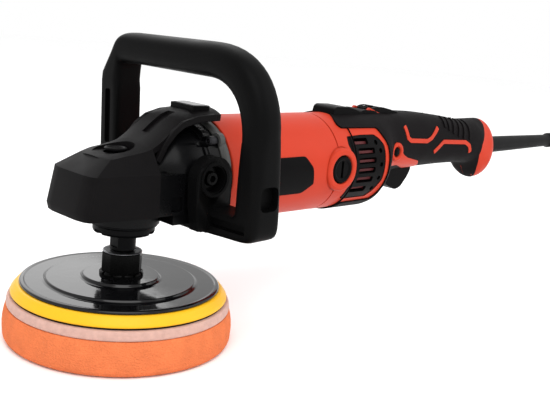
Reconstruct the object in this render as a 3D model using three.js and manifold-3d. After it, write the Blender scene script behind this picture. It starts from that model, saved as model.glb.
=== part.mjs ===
// Rotary polisher with a loop handle: millimetres, +Z up, +X towards the mains lead.
// The origin is the centre of the foam pad's working face, on the spindle axis.
import * as THREE from 'three';
import { mergeVertices } from 'three/addons/utils/BufferGeometryUtils.js';
import { ConvexGeometry } from 'three/addons/geometries/ConvexGeometry.js';
import Module from 'manifold-3d';

// Driving dimensions
const GAP = 0.3;                 // air between pieces that touch
const PAD_RADIUS = 80;
const FOAM_TOP = 24;
const VELOUR_RADIUS = 77.5;
const VELOUR_TOP = 30.7;
const PLATE_RADIUS = 75.2;
const PLATE_TOP = 39;
const DISC_RADIUS = 69.3;
const DISC_TOP = 41.2;
const HUB_RADIUS = 14.2;
const HUB_TOP = 58;
const CAP_RADIUS = 21.6;         // spindle bearing cap
const CAP_BOTTOM = 76;
const HEAD_BOTTOM = 84;          // underside of the gear housing
const MOTOR_Z = 116.5;           // height of the motor axis
const BARREL_RADIUS = 40;
const BARREL_START = 62.3;
const BARREL_END = 176;
const HANDLE_Y = 88.7;           // outer faces of the loop handle's legs
const HANDLE_X = [37, 59];
const HANDLE_BOTTOM = 81;
const HANDLE_TOP = 211;
const HANDLE_LEG = 17.5;
const HANDLE_TILT = THREE.MathUtils.degToRad(-2);
const EAR = { x: 42, z: 118.5, radius: 16, inner: 34.6, outer: 44 };
const BRUSH_X = 179;
const CROWN_TEETH = 36;
const PINION_TEETH = 9;
const TOOTH = { near: 13, far: 19.5 };  // tooth ends, measured from where the two axes cross
const TRIGGER_PIVOT = { x: 266, z: 107.5 };
const LOCK_ON = { x: 262, z: 125, radius: 3.8 };
const SPINDLE_LOCK = { x: -10, radius: 2.2 };
const DIAL = { x: 250, z: 149, radius: 13.5, half: 5 };
const REAR_END = 412;
const SLEEVE_Z = 119;
const SLEEVE_TIP = 584;
const CORD_RADIUS = 4;
const COIL = { x: 665, y: -80, pitch: 8.2, outer: 62, inner: 33.3 };

// Rear body stations: x, top, bottom, half width
const REAR_STATIONS = [
  [176.3, 156.5, 76.5, 40], [236, 156.5, 76.5, 40], [242, 156.5, 80, 38.6], [248, 156.5, 86, 34],
  [254, 156.5, 93, 30], [262, 156.5, 100.5, 27.8], [284, 156.5, 104.5, 26], [305, 156, 105, 24.5],
  [355, 151.5, 105.5, 23], [392, 147, 104.5, 23], [400, 147, 103.6, 22.8], [408, 147.3, 98.6, 22.5],
  [REAR_END, 147.4, 94, 22.5],
];
// Oval end cap, from the outside and from within, in the same terms
const CAP_STATIONS = [
  [REAR_END + GAP, 147.4, 93.7, 22.5], [417, 147.5, 88.8, 22.5], [422, 147.5, 87, 22.6],
  [428, 146.6, 88, 21.8],
  [431.5, 144.6, 90, 20.3], [434.5, 141, 93.6, 17.8], [436.7, 137, 97.5, 15.3], [438, 131, 105, 11.5],
];
const CAP_ROOM = [
  [408, 144.4, 99, 19.5], [418, 144.5, 91.5, 19.6], [426, 143.6, 91, 18.9], [433, 137, 97.5, 14],
];
const GRIP = { start: 284, end: 400, skin: 1.6 };

const wasm = await Module();
wasm.setup();

const finish = (color, roughness, metalness = 0) =>
  new THREE.MeshStandardMaterial({ color, roughness, metalness });
const LOOK = {
  black_rubber: finish(0x2a2a2c, 0.75), black_plastic: finish(0x1b1b1d, 0.5),
  gloss_black: finish(0x0c0c0e, 0.2), red_plastic: finish(0xb5151d, 0.35),
  grey_metal: finish(0x8f9193, 0.4, 0.8), steel: finish(0xb8babd, 0.3, 1),
  black_metal: finish(0x18181a, 0.3, 0.4), copper: finish(0xa8592b, 0.4, 1),
  silver_plastic: finish(0xa9abad, 0.35), orange_foam: finish(0xf08418, 0.95),
  white_velour: finish(0xe9dfd8, 0.95), yellow_foam: finish(0xf2b80c, 0.7),
  carbon: finish(0x2c2c2e, 0.8), board_green: finish(0x2c5a3c, 0.6), white_plastic: finish(0xe8e6e2, 0.4),
};

// ---- geometry helpers ----

// Merge shared corners and turn the faces outwards, whichever way they were listed
function closed(source) {
  const bare = source.clone();
  for (const key of Object.keys(bare.attributes)) if (key !== 'position') bare.deleteAttribute(key);
  const merged = mergeVertices(bare, 1e-4);
  const p = merged.attributes.position.array;
  const index = Array.from(merged.index.array);
  const kept = [];
  let volume = 0;
  for (let i = 0; i < index.length; i += 3) {
    const [a, b, c] = index.slice(i, i + 3);
    if (a === b || b === c || a === c) continue;
    kept.push(a, b, c);
    const [va, vb, vc] = [a, b, c].map((k) => new THREE.Vector3(p[3 * k], p[3 * k + 1], p[3 * k + 2]));
    volume += va.dot(vb.cross(vc));
  }
  if (volume < 0) kept.reverse();
  merged.setIndex(kept);
  return merged;
}

function solid(source) {
  const g = closed(source);
  return new wasm.Manifold(new wasm.Mesh({
    numProp: 3,
    vertProperties: new Float32Array(g.attributes.position.array),
    triVerts: new Uint32Array(g.index.array),
  }));
}

function shape(body) {
  const mesh = body.getMesh();
  const g = new THREE.BufferGeometry();
  g.setAttribute('position', new THREE.BufferAttribute(new Float32Array(mesh.vertProperties), 3));
  g.setIndex(Array.from(mesh.triVerts));
  return g;
}

const cut = (body, ...tools) => tools.reduce((rest, tool) => rest.subtract(tool), body);
const join = (...bodies) => bodies.reduce((all, next) => all.add(next));

function box([x0, x1], [y0, y1], [z0, z1]) {
  const g = new THREE.BoxGeometry(x1 - x0, y1 - y0, z1 - z0);
  g.translate((x0 + x1) / 2, (y0 + y1) / 2, (z0 + z1) / 2);
  return solid(g);
}

// Turn a shape made along +Y so that it runs along the named axis
function along(geometry, axis) {
  if (axis === 'x') geometry.rotateZ(-Math.PI / 2);
  if (axis === 'z') geometry.rotateX(Math.PI / 2);
  return geometry;
}

// A turned piece: profile points are [radius, distance along the axis]
function turned(axis, profile, at = [0, 0, 0], segments = 20) {
  const points = profile.map(([r, h]) => new THREE.Vector2(r, h));
  const onAxis = points[0].x === 0 && points.at(-1).x === 0;
  if (!onAxis) points.push(points[0].clone());
  return solid(along(new THREE.LatheGeometry(points, segments), axis).translate(...at));
}

const rod = (axis, radius, from, to, at = [0, 0, 0], segments = 16) =>
  turned(axis, [[0, from], [radius, from], [radius, to], [0, to]], at, segments);
const ring = (axis, inner, outer, from, to, at = [0, 0, 0], segments = 20) =>
  turned(axis, [[inner, from], [outer, from], [outer, to], [inner, to]], at, segments);
const onMotor = [0, 0, MOTOR_Z];

// Flat outlines pushed along an axis: 'y' takes [x, z] points, 'x' takes [y, z], 'z' takes [x, y]
function prism(axis, outline, from, to) {
  const flat = outline instanceof THREE.Shape
    ? outline : new THREE.Shape(outline.map(([a, b]) => new THREE.Vector2(a, b)));
  const g = new THREE.ExtrudeGeometry(flat, { depth: to - from, bevelEnabled: false, curveSegments: 6 });
  if (axis === 'y') g.rotateX(Math.PI / 2).translate(0, to, 0);
  if (axis === 'x') g.rotateX(Math.PI / 2).rotateZ(Math.PI / 2).translate(from, 0, 0);
  if (axis === 'z') g.translate(0, 0, from);
  return solid(g);
}

const hull = (points) => solid(new ConvexGeometry(points.map((p) => new THREE.Vector3(...p))));

// A piece of a tube wall around the motor axis, between two angles in degrees (0 is +Y, 90 is up)
function wall(inner, outer, fromAngle, toAngle, from, to) {
  const a = THREE.MathUtils.degToRad(fromAngle);
  const b = THREE.MathUtils.degToRad(toAngle);
  const outline = new THREE.Shape();
  outline.absarc(0, MOTOR_Z, outer, a, b, false);
  outline.absarc(0, MOTOR_Z, inner, b, a, true);
  return prism('x', outline, from, to);
}

// ---- pad stack and spindle ----

function foamPad() {
  return turned('z', [[0, 0], [70, 0], [77, 2.5], [PAD_RADIUS, 9], [PAD_RADIUS, 14], [78.5, 20],
    [VELOUR_RADIUS, FOAM_TOP], [0, FOAM_TOP]], [0, 0, 0], 40);
}

function velourDisc() {
  return turned('z', [[0, FOAM_TOP + GAP], [VELOUR_RADIUS, FOAM_TOP + GAP], [76.5, VELOUR_TOP],
    [0, VELOUR_TOP]], [0, 0, 0], 40);
}

function backingPlate() {
  return ring('z', HUB_RADIUS - 4, PLATE_RADIUS, VELOUR_TOP + GAP, PLATE_TOP, [0, 0, 0], 40)
    .intersect(turned('z', [[0, VELOUR_TOP + GAP], [PLATE_RADIUS, VELOUR_TOP + GAP],
      [70.5, PLATE_TOP], [0, PLATE_TOP]], [0, 0, 0], 40));
}

function driveDisc() {
  const low = PLATE_TOP + GAP;
  return turned('z', [[HUB_RADIUS - 4, low], [DISC_RADIUS, low], [DISC_RADIUS, DISC_TOP],
    [53, DISC_TOP], [51.5, 43], [28, 43], [26.5, 45.4], [HUB_RADIUS - 4, 45.4]], [0, 0, 0], 40);
}

function plateHub() {
  const sides = 8;
  const points = [];
  for (let i = 0; i < sides; i += 1) {
    const a = (i + 0.5) * 2 * Math.PI / sides;
    points.push([HUB_RADIUS * Math.cos(a), HUB_RADIUS * Math.sin(a)]);
  }
  const threadRoom = rod('z', 7.1, 33, HUB_TOP + 1);
  const stem = rod('z', HUB_RADIUS - 4.4, 33, 46);
  return cut(join(prism('z', points, 45.8, HUB_TOP), stem), threadRoom);
}

function spindle() {
  return turned('z', [[0, 34], [6.8, 34], [6.8, 58.3], [9, 58.3], [9, 78], [8, 78], [8, 99.5],
    [7, 99.5], [7, 113.5], [3.5, 113.5], [3.5, 129.5], [0, 129.5]]);
}

function spindleBearingCap() {
  const body = ring('z', 9.5, CAP_RADIUS, CAP_BOTTOM, HEAD_BOTTOM - GAP);
  const seal = ring('z', 8.9, 13, 80, 85);
  const notches = [60, 180, 300].map((deg) => {
    const a = THREE.MathUtils.degToRad(deg);
    return rod('z', 4, CAP_BOTTOM - 1, 79, [CAP_RADIUS * Math.cos(a), CAP_RADIUS * Math.sin(a), 0], 12);
  });
  return cut(body, seal, ...notches);
}

const lowerBearing = () => ring('z', 8.1, 16.8, 85.3, 97);
const upperBush = () => ring('z', 3.6, 6.3, 124.3, 129.7, [0, 0, 0], 20);

// Straight bevel teeth whose lines all meet where the two axes cross. Widths and depths are per
// millimetre of distance from that point.
function crownGear() {
  const half = 0.03;
  const coneAt = (r) => MOTOR_Z - 0.335 * r;
  const [bore, inner, outer] = [7.05, TOOTH.near - 0.5, TOOTH.far + 0.8];
  const body = turned('z', [[bore, MOTOR_Z - 15], [outer, MOTOR_Z - 15], [outer, coneAt(outer)],
    [inner, coneAt(inner)], [bore, coneAt(inner)]]);
  let gear = body;
  for (let i = 0; i < CROWN_TEETH; i += 1) {
    const turn = (i + 0.5) * 2 * Math.PI / CROWN_TEETH;
    const corners = [];
    for (const r of [TOOTH.near, TOOTH.far]) {
      for (const [side, width, depth] of [[-1, half, 0.36], [1, half, 0.36], [-1, 0.55 * half, 0.205],
        [1, 0.55 * half, 0.205]]) {
        const y = side * width * r;
        corners.push([r * Math.cos(turn) - y * Math.sin(turn), r * Math.sin(turn) + y * Math.cos(turn),
          MOTOR_Z - depth * r]);
      }
    }
    gear = gear.add(hull(corners));
  }
  const lockHoles = [0, 90, 180, 270].map((deg) => {
    const a = THREE.MathUtils.degToRad(deg);
    return rod('z', 2.6, 108, 120, [10 * Math.cos(a), 10 * Math.sin(a), 0], 12);
  });
  return cut(gear, ...lockHoles);
}

function pinion() {
  const half = 0.027;
  const core = turned('x', [[0, TOOTH.near], [0.175 * TOOTH.near, TOOTH.near],
    [0.175 * TOOTH.far, TOOTH.far], [0.175 * TOOTH.far, 23], [0, 23]], onMotor, 32);
  let gear = core;
  for (let i = 0; i < PINION_TEETH; i += 1) {
    const turn = -Math.PI / 2 + i * 2 * Math.PI / PINION_TEETH;
    const corners = [];
    for (const x of [TOOTH.near, TOOTH.far]) {
      for (const [side, width, reach] of [[-1, half, 0.14], [1, half, 0.14], [-1, 0.6 * half, 0.3],
        [1, 0.6 * half, 0.3]]) {
        const t = side * width * x;
        corners.push([x, reach * x * Math.cos(turn) - t * Math.sin(turn),
          MOTOR_Z + reach * x * Math.sin(turn) + t * Math.cos(turn)]);
      }
    }
    gear = gear.add(hull(corners));
  }
  return gear;
}

// ---- gear head ----

function gearcaseOutside(extra) {
  const drum = turned('z', [[0, HEAD_BOTTOM - extra], [24.5 + extra, HEAD_BOTTOM - extra],
    [24.5 + extra, 121], [15 + extra, 131 + extra], [0, 131 + extra]]);
  const neck = turned('x', [[0, 0], [25 + extra, 0], [30 + extra, 14], [33 + extra, 40], [33 + extra, 56],
    [0, 56]], onMotor, 32);
  return join(drum, neck);
}

const SCREW_RING = 36;
const screwPlaces = [45, 135, 225, 315].map((deg) => {
  const a = THREE.MathUtils.degToRad(deg);
  return [0, SCREW_RING * Math.cos(a), MOTOR_Z + SCREW_RING * Math.sin(a)];
});

function gearHousing() {
  const earPad = (side) => rod('y', 12, side > 0 ? 20 : -EAR.inner + GAP, side > 0 ? EAR.inner - GAP : -20,
    [EAR.x, 0, EAR.z]);
  const body = join(gearcaseOutside(0), earPad(1), earPad(-1));
  const rooms = [
    rod('z', 22, 98, 122.5), rod('z', 17.1, 85, 98.1, [0, 0, 0], 20), rod('z', 15, 83, 86),
    rod('z', 6.6, 122, 130.2), rod('z', SPINDLE_LOCK.radius + 0.3, 122, 133, [SPINDLE_LOCK.x, 0, 0], 24),
    rod('x', 11, 0, 43, onMotor), rod('x', 13.1, 42, 57, onMotor, 20),
  ];
  const screwRooms = screwPlaces.map((at) => rod('x', 4.2, 40, 57, at, 20));
  const earHole = (from, to) => rod('y', 3.3, from, to, [EAR.x, 0, EAR.z], 20);
  return cut(body, ...rooms, ...screwRooms, earHole(-40, -24), earHole(24, 40));
}

const frontBearing = () => ring('x', 5.1, 12.8, 43.3, 52, onMotor);

function gearcaseFlange() {
  const body = turned('x', [[14, 56.3], [37, 56.3], [38.5, 57.5], [38.5, 62], [14, 62]], onMotor, 32);
  return cut(body, ...screwPlaces.map((at) => rod('x', 2.3, 55, 63, at, 12)));
}

const gearScrew = (at) => turned('x', [[0, 49], [2.6, 49], [3.6, 50.2], [3.6, 56], [1.9, 56], [1.9, 68],
  [0, 68]], at, 12);

// Space kept clear round the flange
const flangeRoom = () => rod('x', BARREL_RADIUS + 0.6, 55.8, 70, onMotor, 32);

// Plan outlines of the rubber head cover: [x, half width], then height
function headCover() {
  const level = (points, z) => points.flatMap(([x, y]) => [[x, y, z], [x, -y, z]]);
  const low = level([[-48.6, 13.5], [-45.4, 27.5], [5, 31.5], [5, 0]], 92);
  const chin = level([[-49.6, 14], [-46.4, 28.3], [5, 32]], 97);
  const band = level([[-44.6, 13.5], [-41.5, 27.5], [5, 32]], 121.5);
  const roof = level([[-32, 11], [-27.5, 20.5], [8, 21]], 131.5);
  const crest = level([[0, 10], [8, 18]], 137);
  const shell = hull([...low, ...chin, ...band, ...roof, ...crest]);
  const strap = prism('y', [[-2, 131], [8, 141], [22, 153], [38, 158.6], [55.5, 160], [55.5, 163.6],
    [40, 163.8], [24, 160], [10, 152], [-4, 139], [-12, 134], [-12, 131]], -21, 21);
  const buttonRoom = rod('z', 8.6, 129, 145, [SPINDLE_LOCK.x, 0, 0]);
  const screwRooms = screwPlaces.map((at) => rod('x', 4.6, 40, 57, at, 12));
  return cut(join(shell, strap), gearcaseOutside(GAP), flangeRoom(), buttonRoom, ...screwRooms);
}

const topBadge = () => box([37, 54], [-17, 17], [164.1, 165.6]);

function spindleLockButton() {
  const cap = turned('z', [[0, 134.3], [8, 134.3], [8, 136.4], [7.1, 137.3], [0, 137.3]],
    [SPINDLE_LOCK.x, 0, 0]);
  return join(cap, rod('z', SPINDLE_LOCK.radius, 113, 135, [SPINDLE_LOCK.x, 0, 0], 24));
}

// ---- loop handle ----

function handleOutline() {
  const inner = HANDLE_Y - HANDLE_LEG;
  const low = HANDLE_BOTTOM;
  const s = new THREE.Shape();
  s.moveTo(-EAR.inner, low - 1);
  s.lineTo(-HANDLE_Y, low + 2);
  s.lineTo(-HANDLE_Y, 153);
  s.bezierCurveTo(-HANDLE_Y, 190, -68, HANDLE_TOP, -32, HANDLE_TOP);
  s.lineTo(66, HANDLE_TOP);
  s.quadraticCurveTo(80, HANDLE_TOP, 84, 198);
  s.lineTo(HANDLE_Y, 181);
  s.lineTo(HANDLE_Y, low + 2);
  s.lineTo(EAR.inner, low - 1);
  s.lineTo(EAR.inner, 100);
  s.lineTo(EAR.outer, 100);
  s.lineTo(EAR.outer + 3, 98);
  s.lineTo(inner, 98);
  s.lineTo(inner, 187);
  s.lineTo(-32, 187);
  s.bezierCurveTo(-56, 187, -inner, 172, -inner, 148);
  s.lineTo(-inner, 98);
  s.lineTo(-EAR.outer - 3, 98);
  s.lineTo(-EAR.outer, 100);
  s.lineTo(-EAR.inner, 100);
  return s;
}

function sideHandle() {
  const bevel = 3;
  const g = new THREE.ExtrudeGeometry(handleOutline(), {
    depth: HANDLE_X[1] - HANDLE_X[0] - 2 * bevel, bevelEnabled: true, bevelThickness: bevel,
    bevelSize: bevel, bevelOffset: -bevel, bevelSegments: 2, curveSegments: 8,
  });
  g.rotateX(Math.PI / 2).rotateZ(Math.PI / 2).translate(HANDLE_X[0] + bevel, 0, 0);
  const ear = (side) => {
    const [a, b] = side > 0 ? [EAR.inner, EAR.outer] : [-EAR.outer, -EAR.inner];
    return join(rod('y', EAR.radius, a, b, [EAR.x, 0, EAR.z], 40),
      box([EAR.x - 14, EAR.x + 14], [a, b], [HANDLE_BOTTOM + 2, EAR.z]));
  };
  const recess = (side) => {
    const [a, b] = side > 0 ? [EAR.outer - 5, EAR.outer + 1] : [-EAR.outer - 1, 5 - EAR.outer];
    const headRoom = rod('y', 8, a, b, [EAR.x, 0, EAR.z], 24);
    const shankHole = rod('y', 4.3, side > 0 ? 30 : -50, side > 0 ? 50 : -30, [EAR.x, 0, EAR.z], 20);
    return headRoom.add(shankHole);
  };
  const slot = (side) => {
    const [a, b] = side > 0 ? [40, 84] : [-84, -40];
    return box([HANDLE_X[0] - 1, HANDLE_X[0] + 3], [a, b], [88, 95]);
  };
  const underStrap = box([HANDLE_X[0] + 1, 54], [-36, 36], [HANDLE_BOTTOM - 1.5, HANDLE_BOTTOM + 1.4]);
  const body = join(solid(g), ear(1), ear(-1), underStrap);
  return cut(body, recess(1), recess(-1), slot(1), slot(-1));
}

function handleBolt(side) {
  const profile = [[0, 26], [3, 26], [3, 39.3], [6.5, 39.3], [6.5, 42.5], [3, 42.5], [3, 40.5], [0, 40.5]];
  return turned('y', side > 0 ? profile : profile.map(([r, h]) => [r, -h]), [EAR.x, 0, EAR.z], 24);
}

function tilted(body) {
  const g = shape(body);
  g.translate(-EAR.x, 0, -EAR.z).rotateY(HANDLE_TILT).translate(EAR.x, 0, EAR.z);
  return solid(g);
}

// ---- motor ----

function motorHousing() {
  const skin = turned('x', [[14, BARREL_START], [39, BARREL_START], [BARREL_RADIUS, 64],
    [BARREL_RADIUS, BARREL_END], [36.6, BARREL_END], [36.6, 199], [11.3, 199], [11.3, 191.5],
    [33.5, 191.5], [33.5, 150], [37, 148], [37, 66.5], [14, 66.5]], onMotor, 32);
  const bosses = [-1, 1].map((side) => rod('y', 17.5, side > 0 ? 30 : -41.6, side > 0 ? 41.6 : -30,
    [BRUSH_X, 0, MOTOR_Z], 24));
  const bossTrim = rod('x', 33.5, 150, 191.5, onMotor, 32);
  const brushRooms = rod('y', 11.4, -45, 45, [BRUSH_X, 0, MOTOR_Z], 28);
  const vents = [45, 135, 225, 315].map((deg) => {
    const a = THREE.MathUtils.degToRad(deg);
    return rod('x', 7, 190, 200, [0, 22 * Math.cos(a), MOTOR_Z + 22 * Math.sin(a)], 20);
  });
  const screwHoles = screwPlaces.map((at) => rod('x', 2.3, 61, 70, at, 12));
  const inside = rod('x', 38, 60, 80, onMotor, 32);
  const screwBosses = screwPlaces.map((at) => rod('x', 4.4, 64, 69, at, 12).intersect(inside));
  const body = join(skin, ...bosses.map((boss) => boss.subtract(bossTrim)), ...screwBosses);
  return cut(body, brushRooms, ...vents, ...screwHoles);
}

function fieldCoil(upper, extra = 0) {
  const middle = upper ? 90 : -90;
  const frame = wall(24 - extra, 31.5 + extra, middle - 62, middle + 62, 80 - extra, 148 + extra);
  const window = wall(22, 34, middle - 40 + extra, middle + 40 - extra, 89, 139);
  return frame.subtract(window);
}

function statorCore() {
  const body = ring('x', 22.3, 33, 88, 140, onMotor, 32);
  return cut(body, fieldCoil(true, GAP), fieldCoil(false, GAP));
}

function armatureCore() {
  const outline = new THREE.Shape();
  const slots = 12;
  for (let i = 0; i < slots; i += 1) {
    const a = i * 2 * Math.PI / slots;
    const step = Math.PI / slots;
    for (const [turn, radius] of [[-0.75, 21.8], [0, 21.8], [0.75, 21.8], [0.8, 18], [1.2, 18]]) {
      const angle = a + turn * step;
      const y = radius * Math.cos(angle);
      const z = MOTOR_Z + radius * Math.sin(angle);
      if (i === 0 && turn === -0.75) outline.moveTo(y, z);
      else outline.lineTo(y, z);
    }
  }
  return prism('x', outline, 90, 138).subtract(rod('x', 5.2, 80, 150, onMotor));
}

const armatureShaft = () => turned('x', [[0, 23.3], [4.9, 23.3], [4.9, 200], [0, 200]], onMotor);
const commutator = () => ring('x', 5.2, 13, 166, 190, onMotor, 32);

function coolingFan() {
  const blades = 9;
  let fan = ring('x', 5.2, 34, 77.5, 79.5, onMotor, 32).add(ring('x', 5.2, 9, 70, 78, onMotor));
  for (let i = 0; i < blades; i += 1) {
    const g = new THREE.BoxGeometry(8, 1.6, 20);
    g.translate(73.8, 0, 22).rotateX(i * 2 * Math.PI / blades).translate(0, 0, MOTOR_Z);
    fan = fan.add(solid(g));
  }
  return fan;
}

const rearBearing = () => ring('x', 5.1, 11, 192, 198.5, onMotor);

function brushHolder(side) {
  const [a, b] = side > 0 ? [15, 32] : [-32, -15];
  return cut(box([BRUSH_X - 5.5, BRUSH_X + 5.5], [a, b], [MOTOR_Z - 7.5, MOTOR_Z + 7.5]),
    box([BRUSH_X - 3.6, BRUSH_X + 3.6], [-40, 40], [MOTOR_Z - 5.6, MOTOR_Z + 5.6]));
}

function carbonBrush(side) {
  const [a, b] = side > 0 ? [13.4, 26] : [-26, -13.4];
  return box([BRUSH_X - 3.2, BRUSH_X + 3.2], [a, b], [MOTOR_Z - 5.2, MOTOR_Z + 5.2]);
}

function brushCap(side) {
  const profile = [[0, 33], [11, 33], [11, 40.4], [10, 41.4], [0, 41.4]];
  const body = turned('y', side > 0 ? profile : profile.map(([r, h]) => [r, -h]), [BRUSH_X, 0, MOTOR_Z], 28);
  const [a, b] = side > 0 ? [39.6, 43] : [-43, -39.6];
  return body.subtract(box([BRUSH_X - 7.5, BRUSH_X + 7.5], [a, b], [MOTOR_Z - 1.4, MOTOR_Z + 1.4]));
}

// ---- rear body ----

function sectionAt(x) {
  const last = REAR_STATIONS.length - 1;
  let i = 0;
  while (i < last - 1 && REAR_STATIONS[i + 1][0] < x) i += 1;
  const [a, b] = [REAR_STATIONS[i], REAR_STATIONS[i + 1]];
  const t = (x - a[0]) / (b[0] - a[0]);
  return [1, 2, 3].map((k) => a[k] + t * (b[k] - a[k]));
}

// Half of a hollow shell, split on the middle plane: inset is how far each surface lies inside the body
function halfShell(side, stations, outerInset, innerInset) {
  const steps = 10;
  const positions = [];
  for (const x of stations) {
    const [top, bottom, half] = sectionAt(x);
    const layer = (inset, k) => {
      const angle = -Math.PI / 2 + k * Math.PI / steps;
      return [x, side * (0.15 + (half - inset) * Math.max(0, Math.cos(angle))),
        (top + bottom) / 2 + ((top - bottom) / 2 - inset) * Math.sin(angle)];
    };
    for (let k = 0; k <= steps; k += 1) positions.push(...layer(outerInset(x), k));
    for (let k = steps; k >= 0; k -= 1) positions.push(...layer(innerInset(x), k));
  }
  const count = 2 * (steps + 1);
  const index = [];
  for (let s = 0; s < stations.length - 1; s += 1) {
    for (let k = 0; k < count; k += 1) {
      const a = s * count + k;
      const b = s * count + (k + 1) % count;
      index.push(a, b, b + count, a, b + count, a + count);
    }
  }
  const capEnd = (start, flip) => {
    for (let k = 0; k < steps; k += 1) {
      const [a, b, c, d] = [k, k + 1, count - 2 - k, count - 1 - k].map((v) => v + start);
      if (flip) index.push(a, b, c, a, c, d);
      else index.push(a, c, b, a, d, c);
    }
  };
  capEnd(0, false);
  capEnd((stations.length - 1) * count, true);
  const g = new THREE.BufferGeometry();
  g.setAttribute('position', new THREE.BufferAttribute(new Float32Array(positions), 3));
  g.setIndex(index);
  return solid(g);
}

const ventWindow = (side, extra) => {
  const middle = side > 0 ? 0 : 180;
  return wall(35, 42, middle - 34 - extra, middle + 34 + extra, 201 - extra, 234 + extra);
};
const triggerRoom = () => box([257, 319], [-9.5, 9.5], [80, 116]);
const shellScrews = [[330, 130], [386, 126]];

function handleShell(side) {
  const underGrip = (x) => (x > GRIP.start - 0.2 && x < GRIP.end + 0.2 ? GRIP.skin + GAP : 0);
  const shell = halfShell(side, [176.3, 207, 236, 242, 248, 254, 262, GRIP.start - 0.3, GRIP.start - 0.1,
    305, 355, 392, GRIP.end + 0.1, GRIP.end + 0.3, 408, REAR_END], underGrip,
  (x) => (underGrip(x) ? 4.6 : 2.8));
  const near = side > 0 ? 0.3 : -0.3;
  const bosses = shellScrews.map(([x, z]) => {
    const reach = side * (sectionAt(x)[2] - 3.5);
    return rod('y', 4.6, Math.min(near, reach), Math.max(near, reach), [x, 0, z], 12);
  });
  const rooms = [
    rod('y', 17.9, side > 0 ? 20 : -50, side > 0 ? 50 : -20, [BRUSH_X, 0, MOTOR_Z], 24),
    ventWindow(side, 0.5), triggerRoom(), box([234, 266], [-6, 6], [135, 170]),
    rod('y', LOCK_ON.radius + 0.4, -50, 0, [LOCK_ON.x, 0, LOCK_ON.z], 24),
    ...shellScrews.map(([x, z]) => rod('y', 1.9, -22, 22, [x, 0, z], 12)),
    ...shellScrews.map(([x, z]) => rod('y', 3.9, 16.2, 60, [x, 0, z], 12)),
  ];
  const { x, z } = TRIGGER_PIVOT;
  const stub = join(rod('y', 1.8, side > 0 ? 0.3 : -12, side > 0 ? 12 : -0.3, [x, 0, z], 20),
    box([x - 4, x + 4], side > 0 ? [9.8, 28] : [-28, -9.8], [z - 4, z + 4]).intersect(
      halfShell(side, [258, 266, 284], () => 1, () => 20)));
  return join(cut(join(shell, ...bosses), ...rooms), stub);
}

function gripSkin(side) {
  const skin = halfShell(side, [GRIP.start, 305, 330, 355, 392, GRIP.end], () => 0, () => GRIP.skin);
  const holes = shellScrews.map(([x, z]) => rod('y', 3.9, 16, 60, [x, 0, z], 12));
  return cut(skin, triggerRoom(), ...(side > 0 ? holes : []));
}

const shellScrew = ([x, z]) => turned('y', [[0, 19], [3.4, 19], [3.4, 16.4], [1.6, 16.4], [1.6, -14],
  [0, -14]], [x, 0, z], 12);

function ventGrille(side) {
  const middle = side > 0 ? 0 : 180;
  const plate = wall(37.4, 39.8, middle - 34, middle + 34, 201, 234);
  const slots = [-25, -15, -5, 5, 15, 25].map((turn) =>
    wall(36, 41, middle + turn - 2.6, middle + turn + 2.6, 205, 230));
  return cut(plate, ...slots);
}

// Raised cover on top of the rear body, over the speed electronics
function saddleCover() {
  const profile = [[193.5, 157], [193.5, 160.5], [197.5, 162.6], [212, 162.2], [228, 158.8], [243, 158.4],
    [249, 160.4], [265, 160], [276, 158.2], [283, 157]];
  return cut(prism('y', profile, -12, 12), box([234, 266], [-6, 6], [150, 170]));
}

function speedDial() {
  const wheel = rod('y', DIAL.radius, -DIAL.half, DIAL.half, [DIAL.x, 0, DIAL.z], 24);
  const hole = rod('y', 2.3, -9, 9, [DIAL.x, 0, DIAL.z], 12);
  return wheel.subtract(hole);
}

function speedBoard() {
  const board = box([228, 255.5], [-18, 18], [127.5, 129.3]);
  const legs = [-1, 1].map((side) => box([DIAL.x - 4, DIAL.x + 4], side > 0 ? [6, 8] : [-8, -6], [129, 151]));
  const axle = rod('y', 2, -7, 7, [DIAL.x, 0, DIAL.z], 12);
  return join(board, ...legs, axle);
}

function switchModule() {
  const body = box([288, 324], [-11, 11], [118, 133]);
  const neck = rod('z', 2.2, 117, 119, [302, 0, 0], 12);
  return join(body, neck);
}

function trigger() {
  const blade = prism('y', [[262.5, 104], [272, 101.5], [276, 99], [277.5, 94], [283, 88.5],
    [293.5, 84.5], [301, 86.5], [309, 95], [313.5, 101.5], [314, 108], [290, 109.5], [268, 111],
    [262.5, 110.5]], -7.8, 7.8);
  return blade.subtract(rod('y', 2, -10, 10, [TRIGGER_PIVOT.x, 0, TRIGGER_PIVOT.z], 20));
}

function lockOnButton() {
  const profile = [[0, 30], [2.8, 30], [LOCK_ON.radius, 29.2], [LOCK_ON.radius, 21], [5, 21], [5, 19],
    [0, 19]];
  return turned('y', profile.map(([r, h]) => [r, -h]), [LOCK_ON.x, 0, LOCK_ON.z], 24);
}

// ---- rear end, sleeve and lead ----

function oval([x, top, bottom, half], steps = 24) {
  const points = [];
  for (let i = 0; i < steps; i += 1) {
    const a = i * 2 * Math.PI / steps;
    points.push([x, half * Math.cos(a), (top + bottom) / 2 + (top - bottom) / 2 * Math.sin(a)]);
  }
  return points;
}

function rearEndCap() {
  const outside = hull(CAP_STATIONS.flatMap((station) => oval(station)));
  const inside = hull(CAP_ROOM.flatMap((station) => oval(station)));
  return cut(outside, inside, rod('x', 8.7, 425, 440, [0, 0, SLEEVE_Z], 16));
}

function cableSleeve() {
  return turned('x', [[0, 424], [12, 424], [12, 428], [8.3, 428], [8.3, 462], [7.8, 490], [6.6, 560],
    [6.5, 573], [8.1, 575], [8.1, SLEEVE_TIP - 1], [7, SLEEVE_TIP], [0, SLEEVE_TIP]], [0, 0, SLEEVE_Z], 16);
}

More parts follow.
